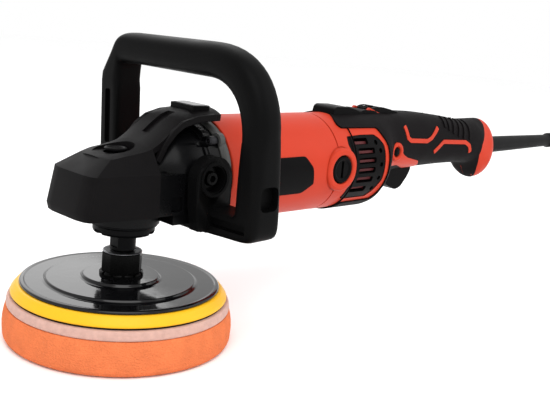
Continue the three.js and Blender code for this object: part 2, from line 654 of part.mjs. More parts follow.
function cableClamp() {
  const bar = box([402.5, 409.5], [-10.6, 10.6], [110, 114.5]);
  const foot = (side) => box([402.5, 409.5], side > 0 ? [7.8, 10.6] : [-10.6, -7.8], [108, 111]);
  return join(bar, foot(1), foot(-1));
}

// Lead from the sleeve down to the floor
const LEAD_ROUTE = [
  [584.3, 0, 119], [602, 0, 118.6], [622, -1, 115.8], [641, -4, 109], [658, -8, 98.5], [673, -14, 84.5],
  [686, -20, 68.5], [697, -27, 52.5], [707, -35, 37.5], [714, -41, 26],
];
const TAIL_ROUTE = [[668, -155.6, 4.3], [655, -157, 4.5], [643, -157.5, 5.5], [630.5, -157.5, 8.6]];

function lead(route, steps) {
  const curve = new THREE.CatmullRomCurve3(route.map((p) => new THREE.Vector3(...p)), false, 'centripetal');
  const section = new THREE.Shape();
  const sides = 10;
  for (let i = 0; i < sides; i += 1) {
    const a = i * 2 * Math.PI / sides;
    const [x, y] = [CORD_RADIUS * Math.cos(a), CORD_RADIUS * Math.sin(a)];
    if (i === 0) section.moveTo(x, y);
    else section.lineTo(x, y);
  }
  return solid(new THREE.ExtrudeGeometry(section, { steps, bevelEnabled: false, extrudePath: curve }));
}

function cordCoil() {
  const low = COIL.inner - CORD_RADIUS;
  const high = COIL.outer + CORD_RADIUS;
  return ring('z', low, high, 0, 2 * COIL.pitch, [COIL.x, COIL.y, 0], 32);
}

function plug() {
  const body = hull([[629, -163, 3], [629, -152, 3], [629, -163, 14], [629, -152, 14], [618, -171, 0.4],
    [618, -144, 0.4], [618, -171, 20], [618, -144, 20], [592, -171, 0.4], [592, -144, 0.4], [592, -171, 20],
    [592, -144, 20]]);
  const pins = [-9.5, 9.5].map((y) => rod('x', 2.4, 573, 594, [0, -157.5 + y, 10.2], 12));
  return join(body, ...pins);
}

// ---- assembly ----

const PARTS = [
  ['foam_pad', LOOK.orange_foam, foamPad()],
  ['velour_disc', LOOK.white_velour, velourDisc()],
  ['backing_plate', LOOK.yellow_foam, backingPlate()],
  ['drive_disc', LOOK.gloss_black, driveDisc()],
  ['plate_hub', LOOK.gloss_black, plateHub()],
  ['spindle', LOOK.steel, spindle()],
  ['crown_gear', LOOK.steel, crownGear()],
  ['pinion', LOOK.steel, pinion()],
  ['spindle_bearing_cap', LOOK.black_metal, spindleBearingCap()],
  ['lower_bearing', LOOK.steel, lowerBearing()],
  ['upper_bush', LOOK.steel, upperBush()],
  ['gear_housing', LOOK.black_metal, gearHousing()],
  ['front_bearing', LOOK.steel, frontBearing()],
  ['gearcase_flange', LOOK.grey_metal, gearcaseFlange()],
  ...screwPlaces.map((at, i) => [`gear_screw_${i + 1}`, LOOK.steel, gearScrew(at)]),
  ['head_cover', LOOK.black_rubber, headCover()],
  ['top_badge', LOOK.silver_plastic, topBadge()],
  ['spindle_lock_button', LOOK.black_plastic, spindleLockButton()],
  ['side_handle', LOOK.black_plastic, cut(tilted(sideHandle()), flangeRoom())],
  ['handle_bolt_left', LOOK.steel, tilted(handleBolt(1))],
  ['handle_bolt_right', LOOK.steel, tilted(handleBolt(-1))],
  ['motor_housing', LOOK.red_plastic, motorHousing()],
  ['cooling_fan', LOOK.black_plastic, coolingFan()],
  ['field_coil_upper', LOOK.copper, fieldCoil(true)],
  ['field_coil_lower', LOOK.copper, fieldCoil(false)],
  ['stator_core', LOOK.grey_metal, statorCore()],
  ['armature_core', LOOK.copper, armatureCore()],
  ['armature_shaft', LOOK.steel, armatureShaft()],
  ['commutator', LOOK.copper, commutator()],
  ['rear_bearing', LOOK.steel, rearBearing()],
  ...[['left', 1], ['right', -1]].flatMap(([name, side]) => [
    [`brush_holder_${name}`, LOOK.black_plastic, brushHolder(side)],
    [`carbon_brush_${name}`, LOOK.carbon, carbonBrush(side)],
    [`brush_cap_${name}`, LOOK.black_plastic, brushCap(side)],
    [`handle_shell_${name}`, LOOK.red_plastic, handleShell(side)],
    [`grip_skin_${name}`, LOOK.black_rubber, gripSkin(side)],
    [`vent_grille_${name}`, LOOK.black_plastic, ventGrille(side)],
  ]),
  ...shellScrews.map((at, i) => [`shell_screw_${i + 1}`, LOOK.steel, shellScrew(at)]),
  ['saddle_cover', LOOK.black_plastic, saddleCover()],
  ['speed_dial', LOOK.white_plastic, speedDial()],
  ['speed_board', LOOK.board_green, speedBoard()],
  ['switch_module', LOOK.black_plastic, switchModule()],
  ['trigger', LOOK.black_plastic, trigger()],
  ['lock_on_button', LOOK.black_plastic, lockOnButton()],
  ['rear_end_cap', LOOK.red_plastic, rearEndCap()],
  ['cable_clamp', LOOK.black_plastic, cableClamp()],
  ['cable_sleeve', LOOK.black_rubber, cableSleeve()],
  ['cord_run', LOOK.black_rubber, lead(LEAD_ROUTE, 12)],
  ['cord_tail', LOOK.black_rubber, lead(TAIL_ROUTE, 4)],
  ['cord_coil', LOOK.black_rubber, cordCoil()],
  ['plug', LOOK.black_rubber, plug()],
];

const polisher = new THREE.Group();
for (const [name, material, body] of PARTS) {
  const mesh = new THREE.Mesh(shape(body), material);
  mesh.name = name;
  polisher.add(mesh);
}

export default polisher;
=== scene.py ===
"""Rotary polisher with a loop handle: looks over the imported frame. Lengths are in millimetres
until a mesh is made, which is in metres like the frame."""
import math

import bmesh
import bpy
from mathutils import Matrix, Vector
from mathutils.geometry import delaunay_2d_cdt


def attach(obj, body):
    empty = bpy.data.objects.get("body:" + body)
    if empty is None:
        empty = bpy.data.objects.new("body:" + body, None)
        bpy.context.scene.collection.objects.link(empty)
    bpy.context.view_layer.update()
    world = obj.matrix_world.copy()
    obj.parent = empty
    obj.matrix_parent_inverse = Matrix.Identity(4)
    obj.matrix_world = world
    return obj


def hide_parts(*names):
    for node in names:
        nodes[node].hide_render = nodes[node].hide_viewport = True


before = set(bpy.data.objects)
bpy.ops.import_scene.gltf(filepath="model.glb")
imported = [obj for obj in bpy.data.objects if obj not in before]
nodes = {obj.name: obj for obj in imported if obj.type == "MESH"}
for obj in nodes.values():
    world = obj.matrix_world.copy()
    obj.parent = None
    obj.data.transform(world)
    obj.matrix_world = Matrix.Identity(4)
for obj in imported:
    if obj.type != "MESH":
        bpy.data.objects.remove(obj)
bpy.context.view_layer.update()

MM = 0.001
MOTOR_Z = 116.5
ON_MOTOR = (0, 0, MOTOR_Z)
BARREL = 40
SIDES = (("right", -1), ("left", 1))
CORNER_STEPS = 4


# ---- meshes ----

def made(name, points, faces):
    """A linked mesh object from points in millimetres."""
    bm = bmesh.new()
    verts = [bm.verts.new(Vector(p) * MM) for p in points]
    for face in faces:
        bm.faces.new([verts[i] for i in face])
    bmesh.ops.remove_doubles(bm, verts=bm.verts, dist=2e-6)
    bmesh.ops.dissolve_degenerate(bm, dist=1e-6, edges=bm.edges)
    bmesh.ops.recalc_face_normals(bm, faces=bm.faces)
    mesh = bpy.data.meshes.new(name)
    bm.to_mesh(mesh)
    bm.free()
    obj = bpy.data.objects.new(name, mesh)
    bpy.context.scene.collection.objects.link(obj)
    return obj


def applied(obj):
    """The modifiers are made part of the mesh."""
    graph = bpy.context.evaluated_depsgraph_get()
    mesh = bpy.data.meshes.new_from_object(obj.evaluated_get(graph))
    obj.modifiers.clear()
    obj.data = mesh
    return obj


def combined(obj, tools, operation):
    for tool in tools:
        mod = obj.modifiers.new("combine", "BOOLEAN")
        mod.operation = operation
        mod.solver = "EXACT"
        mod.object = tool
    applied(obj)
    for tool in tools:
        bpy.data.objects.remove(tool)
    return obj


def carve(obj, *tools):
    return combined(obj, tools, "DIFFERENCE")


def fuse(obj, *tools):
    return combined(obj, tools, "UNION")


def soften(obj, width=0.6, segments=2, angle=32, crease=50):
    """Rounds the edges and smooths the shading between them."""
    if width:
        mod = obj.modifiers.new("edges", "BEVEL")
        mod.limit_method = "ANGLE"
        mod.angle_limit = math.radians(angle)
        mod.width = width * MM
        mod.segments = segments
        mod.miter_outer = "MITER_ARC"
        applied(obj)
    obj.data.shade_smooth()
    obj.data.set_sharp_from_angle(angle=math.radians(crease))
    mod = obj.modifiers.new("normals", "WEIGHTED_NORMAL")
    mod.keep_sharp = True
    return obj


def mirrored(obj, name):
    """A copy on the other side of the middle plane."""
    copy = obj.copy()
    copy.data = obj.data.copy()
    copy.name = name
    copy.data.transform(Matrix.Scale(-1, 4, (0, 1, 0)))
    copy.data.flip_normals()
    bpy.context.scene.collection.objects.link(copy)
    return copy


def span(side, low, high):
    """The stretch of Y between two distances from the middle plane, on one side of it."""
    return sorted((side * low, side * high))


def turned_about(obj, degrees, axis, at):
    move = Matrix.Translation(Vector(at) * MM)
    obj.data.transform(move @ Matrix.Rotation(math.radians(degrees), 4, axis) @ move.inverted())
    return obj


def fillet(points, radius, closed=True):
    """The outline with its corners rounded."""
    out = []
    n = len(points)
    for i, corner in enumerate(points):
        if not closed and i in (0, n - 1):
            out.append(corner)
            continue
        c = Vector(corner)
        a, b = Vector(points[i - 1]) - c, Vector(points[(i + 1) % n]) - c
        if a.length < 1e-6 or b.length < 1e-6 or math.pi - a.angle(b) < math.radians(12):
            out.append(corner)
            continue
        back = min(radius, 0.45 * a.length, 0.45 * b.length)
        start, end = c + a.normalized() * back, c + b.normalized() * back
        for k in range(CORNER_STEPS + 1):
            t = k / CORNER_STEPS
            out.append(tuple((1 - t) ** 2 * start + 2 * t * (1 - t) * c + t * t * end))
    return out


def lathe(name, profile, axis="z", at=(0, 0, 0), segments=96, radius=0.0):
    """A turned piece: profile points are (radius, distance along the axis), in one closed loop."""
    if radius:
        on_axis = [i for i, (r, h) in enumerate(profile) if r == 0]
        loop = fillet(profile, radius)
        profile = [(max(0.0, r), h) for r, h in loop]
        if on_axis:
            ends = [h for r, h in (profile[0], profile[-1])]
            profile = [(0.0, ends[0]), *[p for p in profile if p[0] > 0.05], (0.0, ends[1])]
    points, faces = [], []
    n = len(profile)
    for s in range(segments):
        a = 2 * math.pi * s / segments
        for r, h in profile:
            u, v = r * math.cos(a), r * math.sin(a)
            p = {"z": (u, v, h), "x": (h, u, v), "y": (v, h, u)}[axis]
            points.append([c + o for c, o in zip(p, at)])
        for k in range(n):
            t = (s + 1) % segments
            k2 = (k + 1) % n
            if profile[k][0] == 0 and profile[k2][0] == 0:
                continue
            quad = [s * n + k, s * n + k2, t * n + k2, t * n + k]
            if profile[k][0] == 0:
                quad = [s * n + k, s * n + k2, t * n + k2]
            elif profile[k2][0] == 0:
                quad = [s * n + k, s * n + k2, t * n + k]
            faces.append(quad)
    return made(name, points, faces)


def rod(name, axis, radius, low, high, at=(0, 0, 0), segments=48):
    return lathe(name, [(0, low), (radius, low), (radius, high), (0, high)], axis, at, segments)


def prism(name, outline, axis, low, high):
    """An outline pushed along an axis: 'y' takes (x, z) points, 'x' takes (y, z), 'z' takes (x, y)."""
    def place(a, b, h):
        return {"y": (a, h, b), "x": (h, a, b), "z": (a, b, h)}[axis]
    n = len(outline)
    points = [place(a, b, h) for h in (low, high) for a, b in outline]
    faces = [[i, (i + 1) % n, n + (i + 1) % n, n + i] for i in range(n)]
    faces += [list(range(n)), list(range(2 * n - 1, n - 1, -1))]
    return made(name, points, faces)


def block(name, x, y, z):
    return prism(name, [(x[0], y[0]), (x[1], y[0]), (x[1], y[1]), (x[0], y[1])], "z", *z)


def loft(name, rings, ladder=False):
    """A skin over rings of equal count, closed at both ends. A ladder end joins mirrored points."""
    n = len(rings[0])
    points = [p for ring in rings for p in ring]
    faces = []
    for r in range(len(rings) - 1):
        for k in range(n):
            k2 = (k + 1) % n
            faces.append([r * n + k, r * n + k2, (r + 1) * n + k2, (r + 1) * n + k])
    for start in (0, (len(rings) - 1) * n):
        if ladder:
            faces += [[start + k, start + k + 1, start + n - 2 - k, start + n - 1 - k]
                      for k in range(n // 2 - 1)]
        else:
            faces.append([start + k for k in range(n)])
    return made(name, points, faces)


def inside(point, loop):
    x, y = point
    hit = False
    for i, (x1, y1) in enumerate(loop):
        x0, y0 = loop[i - 1]
        if (y0 > y) != (y1 > y) and x < (x1 - x0) * (y - y0) / (y1 - y0) + x0:
            hit = not hit
    return hit


def divided(loop, step):
    """The loop with extra points, so that no edge is longer than the step."""
    out = []
    for i, a in enumerate(loop):
        b = loop[(i + 1) % len(loop)]
        count = max(1, math.ceil(math.dist(a, b) / step))
        out += [tuple(p + (q - p) * k / count for p, q in zip(a, b)) for k in range(count)]
    return out


def panel(name, outline, place, low, high, holes=(), step=4.0):
    """A plate that lies on a curved surface: place(a, b, lift) gives the point of the surface."""
    loops = [divided(loop, step) for loop in (outline, *holes)]
    flat, edges = [], []
    for loop in loops:
        start = len(flat)
        flat += loop
        edges += [(start + i, start + (i + 1) % len(loop)) for i in range(len(loop))]
    a0, a1 = min(p[0] for p in outline), max(p[0] for p in outline)
    b0, b1 = min(p[1] for p in outline), max(p[1] for p in outline)
    rim = list(flat)
    for i in range(1, math.ceil((a1 - a0) / step)):
        for k in range(1, math.ceil((b1 - b0) / step)):
            p = (a0 + i * step, b0 + k * step)
            if inside(p, outline) and not any(inside(p, hole) for hole in holes):
                if min(math.dist(p, q) for q in rim) > 0.45 * step:
                    flat.append(p)
    found = delaunay_2d_cdt([Vector(p) for p in flat], edges, [], 0, 1e-4)
    spots, tris = found[0], found[2]
    kept = []
    for tri in tris:
        mid = sum((spots[i] for i in tri), Vector((0, 0))) / len(tri)
        if inside(mid, loops[0]) and not any(inside(mid, hole) for hole in loops[1:]):
            kept.append(list(tri))
    n = len(spots)
    points = [place(p[0], p[1], high) for p in spots] + [place(p[0], p[1], low) for p in spots]
    count = {}
    for tri in kept:
        for i, a in enumerate(tri):
            edge = (a, tri[(i + 1) % len(tri)])
            count[edge] = count.get(edge, 0) + 1
    faces = kept + [[i + n for i in reversed(tri)] for tri in kept]
    faces += [[a, b, b + n, a + n] for a, b in count if (b, a) not in count]
    return made(name, points, faces)


def stroke(points, width):
    """The outline of a line of that width through the points."""
    near, far = [], []
    for i, p in enumerate(points):
        a, b = Vector(points[max(0, i - 1)]), Vector(points[min(len(points) - 1, i + 1)])
        across = (b - a).normalized().orthogonal() * width / 2
        near.append(tuple(Vector(p) + across))
        far.append(tuple(Vector(p) - across))
    return near + far[::-1]


def circle(x, z, radius, count=16, start=0.0):
    """Points evenly round a circle, the first of them at that many degrees."""
    turns = [math.radians(start + 360 * k / count) for k in range(count)]
    return [(x + radius * math.cos(a), z + radius * math.sin(a)) for a in turns]


def eased(table, x):
    """The table's values at x, on a smooth curve through its rows that never overshoots them."""
    if x <= table[0][0]:
        return list(table[0][1:])
    if x >= table[-1][0]:
        return list(table[-1][1:])
    i = max(k for k in range(len(table) - 1) if table[k][0] <= x)
    last = len(table) - 1

    def secant(k, c):
        return (table[k + 1][c] - table[k][c]) / (table[k + 1][0] - table[k][0])

    def slope(k, c):
        if k in (0, last):
            return secant(min(k, last - 1), c)
        a, b = secant(k - 1, c), secant(k, c)
        return 0 if a * b <= 0 else 2 * a * b / (a + b)

    width = table[i + 1][0] - table[i][0]
    t = (x - table[i][0]) / width
    return [(2 * t ** 3 - 3 * t * t + 1) * table[i][c] + (t ** 3 - 2 * t * t + t) * slope(i, c) * width
            + (3 * t * t - 2 * t ** 3) * table[i + 1][c] + (t ** 3 - t * t) * slope(i + 1, c) * width
            for c in range(1, len(table[0]))]


# ---- materials ----

def tint(colour, k):
    return (*[min(1.0, c * k) for c in colour], 1)


class Nodes:
    """Short calls for making a material's nodes."""

    def __init__(self, name):
        self.material = bpy.data.materials.new(name)
        self.material.use_nodes = True
        self.tree = self.material.node_tree
        self.shader = self.tree.nodes["Principled BSDF"]
        self.coords = self.tree.nodes.new("ShaderNodeTexCoord").outputs["Object"]

    def link(self, a, b):
        self.tree.links.new(a, b)

    def node(self, kind, **values):
        node = self.tree.nodes.new(kind)
        for key, value in values.items():
            setattr(node, key, value)
        return node

    def texture(self, kind, size, stretch=(1, 1, 1), detail=3.0):
        """A noise or cell texture with features of about that many millimetres."""
        mapping = self.node("ShaderNodeMapping")
        mapping.inputs["Scale"].default_value = stretch
        self.link(self.coords, mapping.inputs["Vector"])
        tex = self.node("ShaderNodeTexNoise" if kind == "noise" else "ShaderNodeTexVoronoi")
        tex.inputs["Scale"].default_value = 1000 / size
        if kind == "noise":
            tex.inputs["Detail"].default_value = detail
        self.link(mapping.outputs["Vector"], tex.inputs["Vector"])
        return tex.outputs["Fac" if kind == "noise" else "Distance"]

    def spread(self, value, low, high):
        node = self.node("ShaderNodeMapRange")
        for key, number in (("From Min", 0.3), ("From Max", 0.7), ("To Min", low), ("To Max", high)):
            node.inputs[key].default_value = number
        self.link(value, node.inputs["Value"])
        return node.outputs["Result"]

    def mix(self, factor, a, b):
        node = self.node("ShaderNodeMix", data_type="RGBA")
        self.link(factor, node.inputs["Factor"])
        for socket, colour in ((6, a), (7, b)):
            if isinstance(colour, tuple):
                node.inputs[socket].default_value = colour
            else:
                self.link(colour, node.inputs[socket])
        return node.outputs[2]

    def bump(self, height, depth, after=None):
        node = self.node("ShaderNodeBump")
        node.inputs["Distance"].default_value = depth * MM
        self.link(height, node.inputs["Height"])
        if after:
            self.link(after, node.inputs["Normal"])
        return node.outputs["Normal"]


def look(name, colour, rough, metal=0.0, specular=0.5, mottle=0.06, patch=18, kind="noise", size=0.9,
         depth=0.06, stretch=(1, 1, 1), sheen=0.0, shine=0.07, waves=0.0):
    """A finish with uneven colour and gloss, and a fine grain."""
    n = Nodes(name)
    patches = n.texture("noise", patch, stretch)
    grain = n.texture(kind, size, stretch)
    base = n.mix(n.spread(patches, 0, 1), tint(colour, 1 - mottle), tint(colour, 1 + mottle))
    base = n.mix(n.spread(grain, 0, 0.5 * min(1, 3 * mottle)), base, tint(colour, 0.7))
    n.link(base, n.shader.inputs["Base Color"])
    n.link(n.spread(patches, rough - shine / 2, rough + shine), n.shader.inputs["Roughness"])
    normal = n.bump(grain, depth)
    if waves:
        normal = n.bump(n.texture("noise", 7, stretch, 1.0), waves, normal)
    n.link(normal, n.shader.inputs["Normal"])
    n.shader.inputs["Metallic"].default_value = metal
    n.shader.inputs["Specular IOR Level"].default_value = specular
    n.shader.inputs["Sheen Weight"].default_value = sheen
    return n.material


FOAM = look("foam", (0.74, 0.19, 0.068), 0.9, specular=0.1, mottle=0.08, patch=9, kind="cells", size=1.3,
            depth=0.7)
# Near-black hook layer: its rim between the velour and the plate also serves as the painted shadow line under
# the plate.
HOOK_LAYER_AND_SHADOW = look("hook_layer_and_shadow", (0.008, 0.008, 0.008), 0.9, specular=0.1, mottle=0.3, patch=3, size=0.5, depth=0.3)
VELOUR = look("velour", (0.6, 0.37, 0.31), 0.95, specular=0.1, mottle=0.09, patch=4, size=0.7, depth=0.6,
              sheen=0.15)
PLATE = look("plate", (0.82, 0.44, 0.012), 0.38, specular=0.2, mottle=0.03, patch=30, size=1.6, depth=0.03,
             waves=0.05)
GLOSS = look("gloss", (0.003, 0.003, 0.0035), 0.07, specular=0.27, patch=40, size=2.5, depth=0.01,
             waves=0.025, shine=0.04)
HUB = look("hub", (0.0012, 0.0012, 0.0012), 0.25, specular=0.06, patch=12, size=0.6, depth=0.02, shine=0.06)
CASE = look("case", (0.0022, 0.0022, 0.0025), 0.26, specular=0.1, patch=25, size=0.8, depth=0.03, mottle=0.15)
STEEL = look("steel", (0.2, 0.2, 0.21), 0.32, metal=1, mottle=0.12, size=0.5, depth=0.02, stretch=(1, 1, 12))
DARK_METAL = look("dark_metal", (0.003, 0.003, 0.0033), 0.4, metal=0.1, specular=0.06, mottle=0.2, size=0.7,
                  depth=0.04)
BLACKED = look("blackened_steel", (0.018, 0.018, 0.02), 0.28, metal=0.7, specular=0.3, mottle=0.2, size=0.5,
               depth=0.02)
CAST = look("cast_grey", (0.08, 0.08, 0.077), 0.45, metal=0.3, specular=0.2, mottle=0.15, size=0.6,
            depth=0.07)
RUBBER = look("head_rubber", (0.0048, 0.0043, 0.0046), 0.5, specular=0.05, patch=20, kind="cells", size=0.7,
              depth=0.035, mottle=0.18)
HANDLE = look("handle_black", (0.0026, 0.0026, 0.0027), 0.42, specular=0.04, patch=30, kind="cells", size=0.6,
              depth=0.03, mottle=0.15)
PLASTIC = look("black_plastic", (0.0022, 0.002, 0.0022), 0.38, specular=0.04, patch=14, size=0.5, depth=0.03,
               mottle=0.2)
GRIP = look("grip_rubber", (0.0052, 0.0042, 0.0046), 0.58, specular=0.045, patch=16, kind="cells", size=0.55,
            depth=0.05, mottle=0.2)
RED = look("red_plastic", (0.5, 0.04, 0.017), 0.36, specular=0.09, patch=35, size=0.55, depth=0.018,
           mottle=0.035)
# The red plastic darkened as painted shade, for the louvres sunk behind the vent slots.
RED_PAINTED_SHADE = look("red_painted_shade", (0.1, 0.02, 0.022), 0.5, specular=0.15, mottle=0.15)
CORD = look("cord_rubber", (0.006, 0.006, 0.0064), 0.48, specular=0.07, patch=12, size=0.5, depth=0.03,
            mottle=0.2)
FABRIC = look("tie_fabric", (0.012, 0.012, 0.013), 0.9, specular=0.1, mottle=0.3, patch=4, size=0.6,
              depth=0.2)
BRASS = look("brass", (0.62, 0.5, 0.28), 0.28, metal=1, size=0.4, depth=0.01, stretch=(8, 1, 1))
COPPER = look("copper", (0.5, 0.19, 0.08), 0.34, metal=0.9, mottle=0.25, patch=5, size=0.8, depth=0.25,
              stretch=(0.15, 2, 2))
LAMINATION = look("lamination", (0.17, 0.17, 0.175), 0.45, metal=0.8, mottle=0.25, patch=8, size=0.6,
                  depth=0.12, stretch=(4, 0.1, 0.1))
BOARD = look("board", (0.02, 0.09, 0.04), 0.4, mottle=0.25, patch=5, size=1.5, depth=0.05)
WHITE = look("white_plastic", (0.4, 0.4, 0.39), 0.4, mottle=0.05, size=0.6, depth=0.02)
CARBON = look("carbon", (0.03, 0.03, 0.032), 0.7, mottle=0.25, size=0.4, depth=0.05)
FLOOR = look("floor", (0.98, 0.98, 0.98), 0.9, specular=0.1, mottle=0.004, patch=400, size=4, depth=0.01)


SLOTS = {
    FOAM: "foam_orange", HOOK_LAYER_AND_SHADOW: "black_rubber", VELOUR: "velour_white", PLATE: "plate_yellow",
    GLOSS: "gloss_black", HUB: "hub_black", CASE: "black_metal", STEEL: "steel", DARK_METAL: "black_metal",
    BLACKED: "steel", CAST: "grey_metal", RUBBER: "black_rubber", HANDLE: "handle_black",
    PLASTIC: "black_plastic", GRIP: "black_rubber", RED: "red_plastic", RED_PAINTED_SHADE: "red_plastic",
    CORD: "cord_rubber", FABRIC: "cord_rubber", BRASS: "brass", WHITE: "white_plastic",
}


def piece(obj, material, body="body", stands_for=(), slot=None):
    """The object gets its finish, rides on the body, and may stand for CAD nodes."""
    obj.data.materials.clear()
    obj.data.materials.append(material)
    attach(obj, body)
    if stands_for:
        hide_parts(*stands_for)
    slot or SLOTS[material]
    return obj


# ---- camera ----

CAMERA_AT = (-355.27, -496.55, 236.40)
CAMERA_TURN = (45.52, 12.34, 5.30)          # yaw, pitch and roll in degrees
CAMERA_LENS = 58.32
CAMERA_SHIFT = (-0.0048, -0.0030)


def make_camera():
    """A camera that looks along the yaw and down by the pitch, with +Y as yaw 0."""
    yaw, pitch, roll = (math.radians(a) for a in CAMERA_TURN)
    forward = Vector((math.sin(yaw) * math.cos(pitch), math.cos(yaw) * math.cos(pitch), -math.sin(pitch)))
    level = Vector((math.cos(yaw), -math.sin(yaw), 0))
    rise = level.cross(forward)
    right = math.cos(roll) * level + math.sin(roll) * rise
    up = -math.sin(roll) * level + math.cos(roll) * rise
    data = bpy.data.cameras.new("camera")
    data.lens = CAMERA_LENS
    data.shift_x, data.shift_y = CAMERA_SHIFT
    camera = bpy.data.objects.new("camera", data)
    place = Matrix((right, up, -forward)).transposed().to_4x4()
    place.translation = Vector(CAMERA_AT) * MM
    camera.matrix_world = place
    bpy.context.scene.collection.objects.link(camera)
    bpy.context.scene.camera = camera


make_camera()


# ---- lead, coil, tie and plug ----

CORD_EXIT = (584.3, 0, 119)
CORD_RADIUS = 4.0
COIL = (665.0, -80.0)
LAYERS = (4.9, 13.1)
TURNS_IN, TURNS = 3.5, 7


def coil_point(turn, radius, z):
    a = -2 * math.pi * turn
    return (COIL[0] + radius * math.cos(a), COIL[1] + radius * math.sin(a), z)


def coil_points():
    """Wound inwards on the floor, up in a quarter turn, and outwards on top of the first layer."""
    per_turn = 24
    points = []
    for k in range(TURNS * per_turn + 1):
        turn = k / per_turn
        if turn < TURNS_IN:
            radius = 62 - 8.2 * turn
            if turn < 0.25:
                radius += 8.5 * (1 - eased([(0, 0), (0.25, 1)], turn)[0])
            z = LAYERS[0]
        else:
            radius = 33.3 + 8.2 * (turn - TURNS_IN)
            rise = min(1.0, (turn - TURNS_IN) / 0.25)
            z = LAYERS[0] + (LAYERS[1] - LAYERS[0]) * rise * rise * (3 - 2 * rise)
        points.append(coil_point(turn, radius, z))
    for turn, radius, z in ((0.05, 62.8, 13.1), (0.1, 65, 13.1), (0.14, 67.5, 12.7), (0.18, 70.6, 10.4),
                            (0.22, 73.6, 7.0), (0.26, 75.8, 5.2)):
        points.append(coil_point(turn, radius, z))
    return points


def cord_points():
    lead = [CORD_EXIT, (602, 0, 118.6), (622, -1, 115.8), (641, -4, 109), (658, -8, 98.5), (673, -14, 84.5),
            (686, -20, 68.5), (698, -26.5, 53), (709, -33, 39), (719.5, -39.5, 27.5), (728, -46.5, 17.5),
            (733.2, -56, 9.3), (735.2, -68, 5.5)]
    tail = [(655, -156.6, 4.6), (643, -157.5, 5.8), (633.5, -157.5, 8.2)]
    return lead + coil_points() + tail


def make_cord():
    data = bpy.data.curves.new("mains_lead", "CURVE")
    data.dimensions = "3D"
    data.bevel_depth = CORD_RADIUS * MM
    data.bevel_resolution = 5
    data.resolution_u = 5
    data.use_fill_caps = True
    points = cord_points()
    spline = data.splines.new("BEZIER")
    spline.bezier_points.add(len(points) - 1)
    for knot, p in zip(spline.bezier_points, points):
        knot.co = Vector(p) * MM
        knot.handle_left_type = knot.handle_right_type = "AUTO"
    lead = bpy.data.objects.new("mains_lead", data)
    bpy.context.scene.collection.objects.link(lead)
    piece(lead, CORD, stands_for=("cord_run", "cord_tail", "cord_coil"))
    return lead


def make_tie():
    """A woven strap round the whole bundle, with its loose end on top."""
    middle, tangent_half = math.radians(180), 8.0
    loop = fillet([(28.4, 0.1), (62.8, 0.1), (62.8, 17.9), (28.4, 17.9)], 5)
    inner = fillet([(29.2, 0.8), (62.0, 0.8), (62.0, 17.2), (29.2, 17.2)], 4.4)

    def place(r, z, side):
        c = Vector((COIL[0], COIL[1], 0)) + r * Vector((math.cos(middle), math.sin(middle), 0))
        return tuple(c + side * tangent_half * Vector((-math.sin(middle), math.cos(middle), 0))
                     + Vector((0, 0, z)))
    n = len(loop)
    points = [place(r, z, side) for side in (-1, 1) for ring in (loop, inner) for r, z in ring]
    faces = []
    for k in range(n):
        q = (k + 1) % n
        faces += [[k, q, 2 * n + q, 2 * n + k], [n + k, 3 * n + k, 3 * n + q, n + q],
                  [k, n + k, n + q, q], [2 * n + k, 2 * n + q, 3 * n + q, 3 * n + k]]
    tie = soften(made("cord_tie", points, faces), 0.2)
    flap = soften(block("cord_tie_end", (608.5, 630), (-87.5, -72.5), (18.0, 18.9)), 0.3)
    piece(flap, FABRIC)
    return [piece(tie, FABRIC), flap]


def make_plug():
    """A moulded two-pin plug lying on its side, with finger ribs and a short ribbed neck."""
    y, z = -157.5, 10.2
    rings = []
    for x, half_y, half_z, lift in ((592, 12.6, 9.0, 0), (593.2, 13.4, 9.7, 0), (606, 13.5, 9.8, 0),
                                    (611, 12.6, 9.3, 0), (617, 12.8, 9.4, 0), (622, 10.4, 7.8, -0.4),
                                    (626, 7.4, 6.4, -1.2), (629, 6.0, 5.6, -1.8)):
        ring = []
        for k in range(32):
            a = 2 * math.pi * k / 32
            c, s = math.cos(a), math.sin(a)
            ring.append((x, y + half_y * math.copysign(abs(c) ** 0.5, c),
                         z + lift + half_z * math.copysign(abs(s) ** 0.5, s)))
        rings.append(ring)
    body = loft("plug_body", rings)
    cuts = [prism(f"rib_{side}_{k}", fillet([(x - 0.8, y + side * 11.6), (x + 0.8, y + side * 11.6),
                                              (x + 0.8, y + side * 16), (x - 0.8, y + side * 16)], 0.5),
                  "z", 2, 19) for side in (-1, 1) for k, x in enumerate((601, 604.5, 608, 611.5))]
    piece(soften(carve(body, *cuts), 0.4), PLASTIC, stands_for=("plug",))
    neck = lathe("plug_neck", [(0, 628), (5.4, 628), (5.4, 630), (4.7, 630.4), (4.7, 631.4), (5.1, 631.8),
                               (5.1, 633.2), (4.6, 633.6), (4.6, 634.8), (4.2, 635.4), (0, 635.4)],
                 "x", (0, y, 8.4), 32)
    piece(soften(neck, 0.2), CORD)
    pins = []
    for k, side in enumerate((-9.5, 9.5)):
        profile = [(0, 573), (1.4, 573.2), (2.1, 574.3), (2.4, 576), (2.4, 594), (0, 594)]
        pins.append(piece(soften(lathe(f"plug_pin_{k + 1}", profile, "x", (0, y + side, z), 32), 0),
                          BRASS))
        sleeve = rod(f"plug_pin_sleeve_{k + 1}", "x", 2.55, 583, 593, (0, y + side, z), 32)
        pins.append(piece(soften(sleeve, 0.2), PLASTIC))
    return [body, neck, *pins]


lead = make_cord()
on_lead = make_tie() + make_plug()


# ---- pad stack and spindle ----

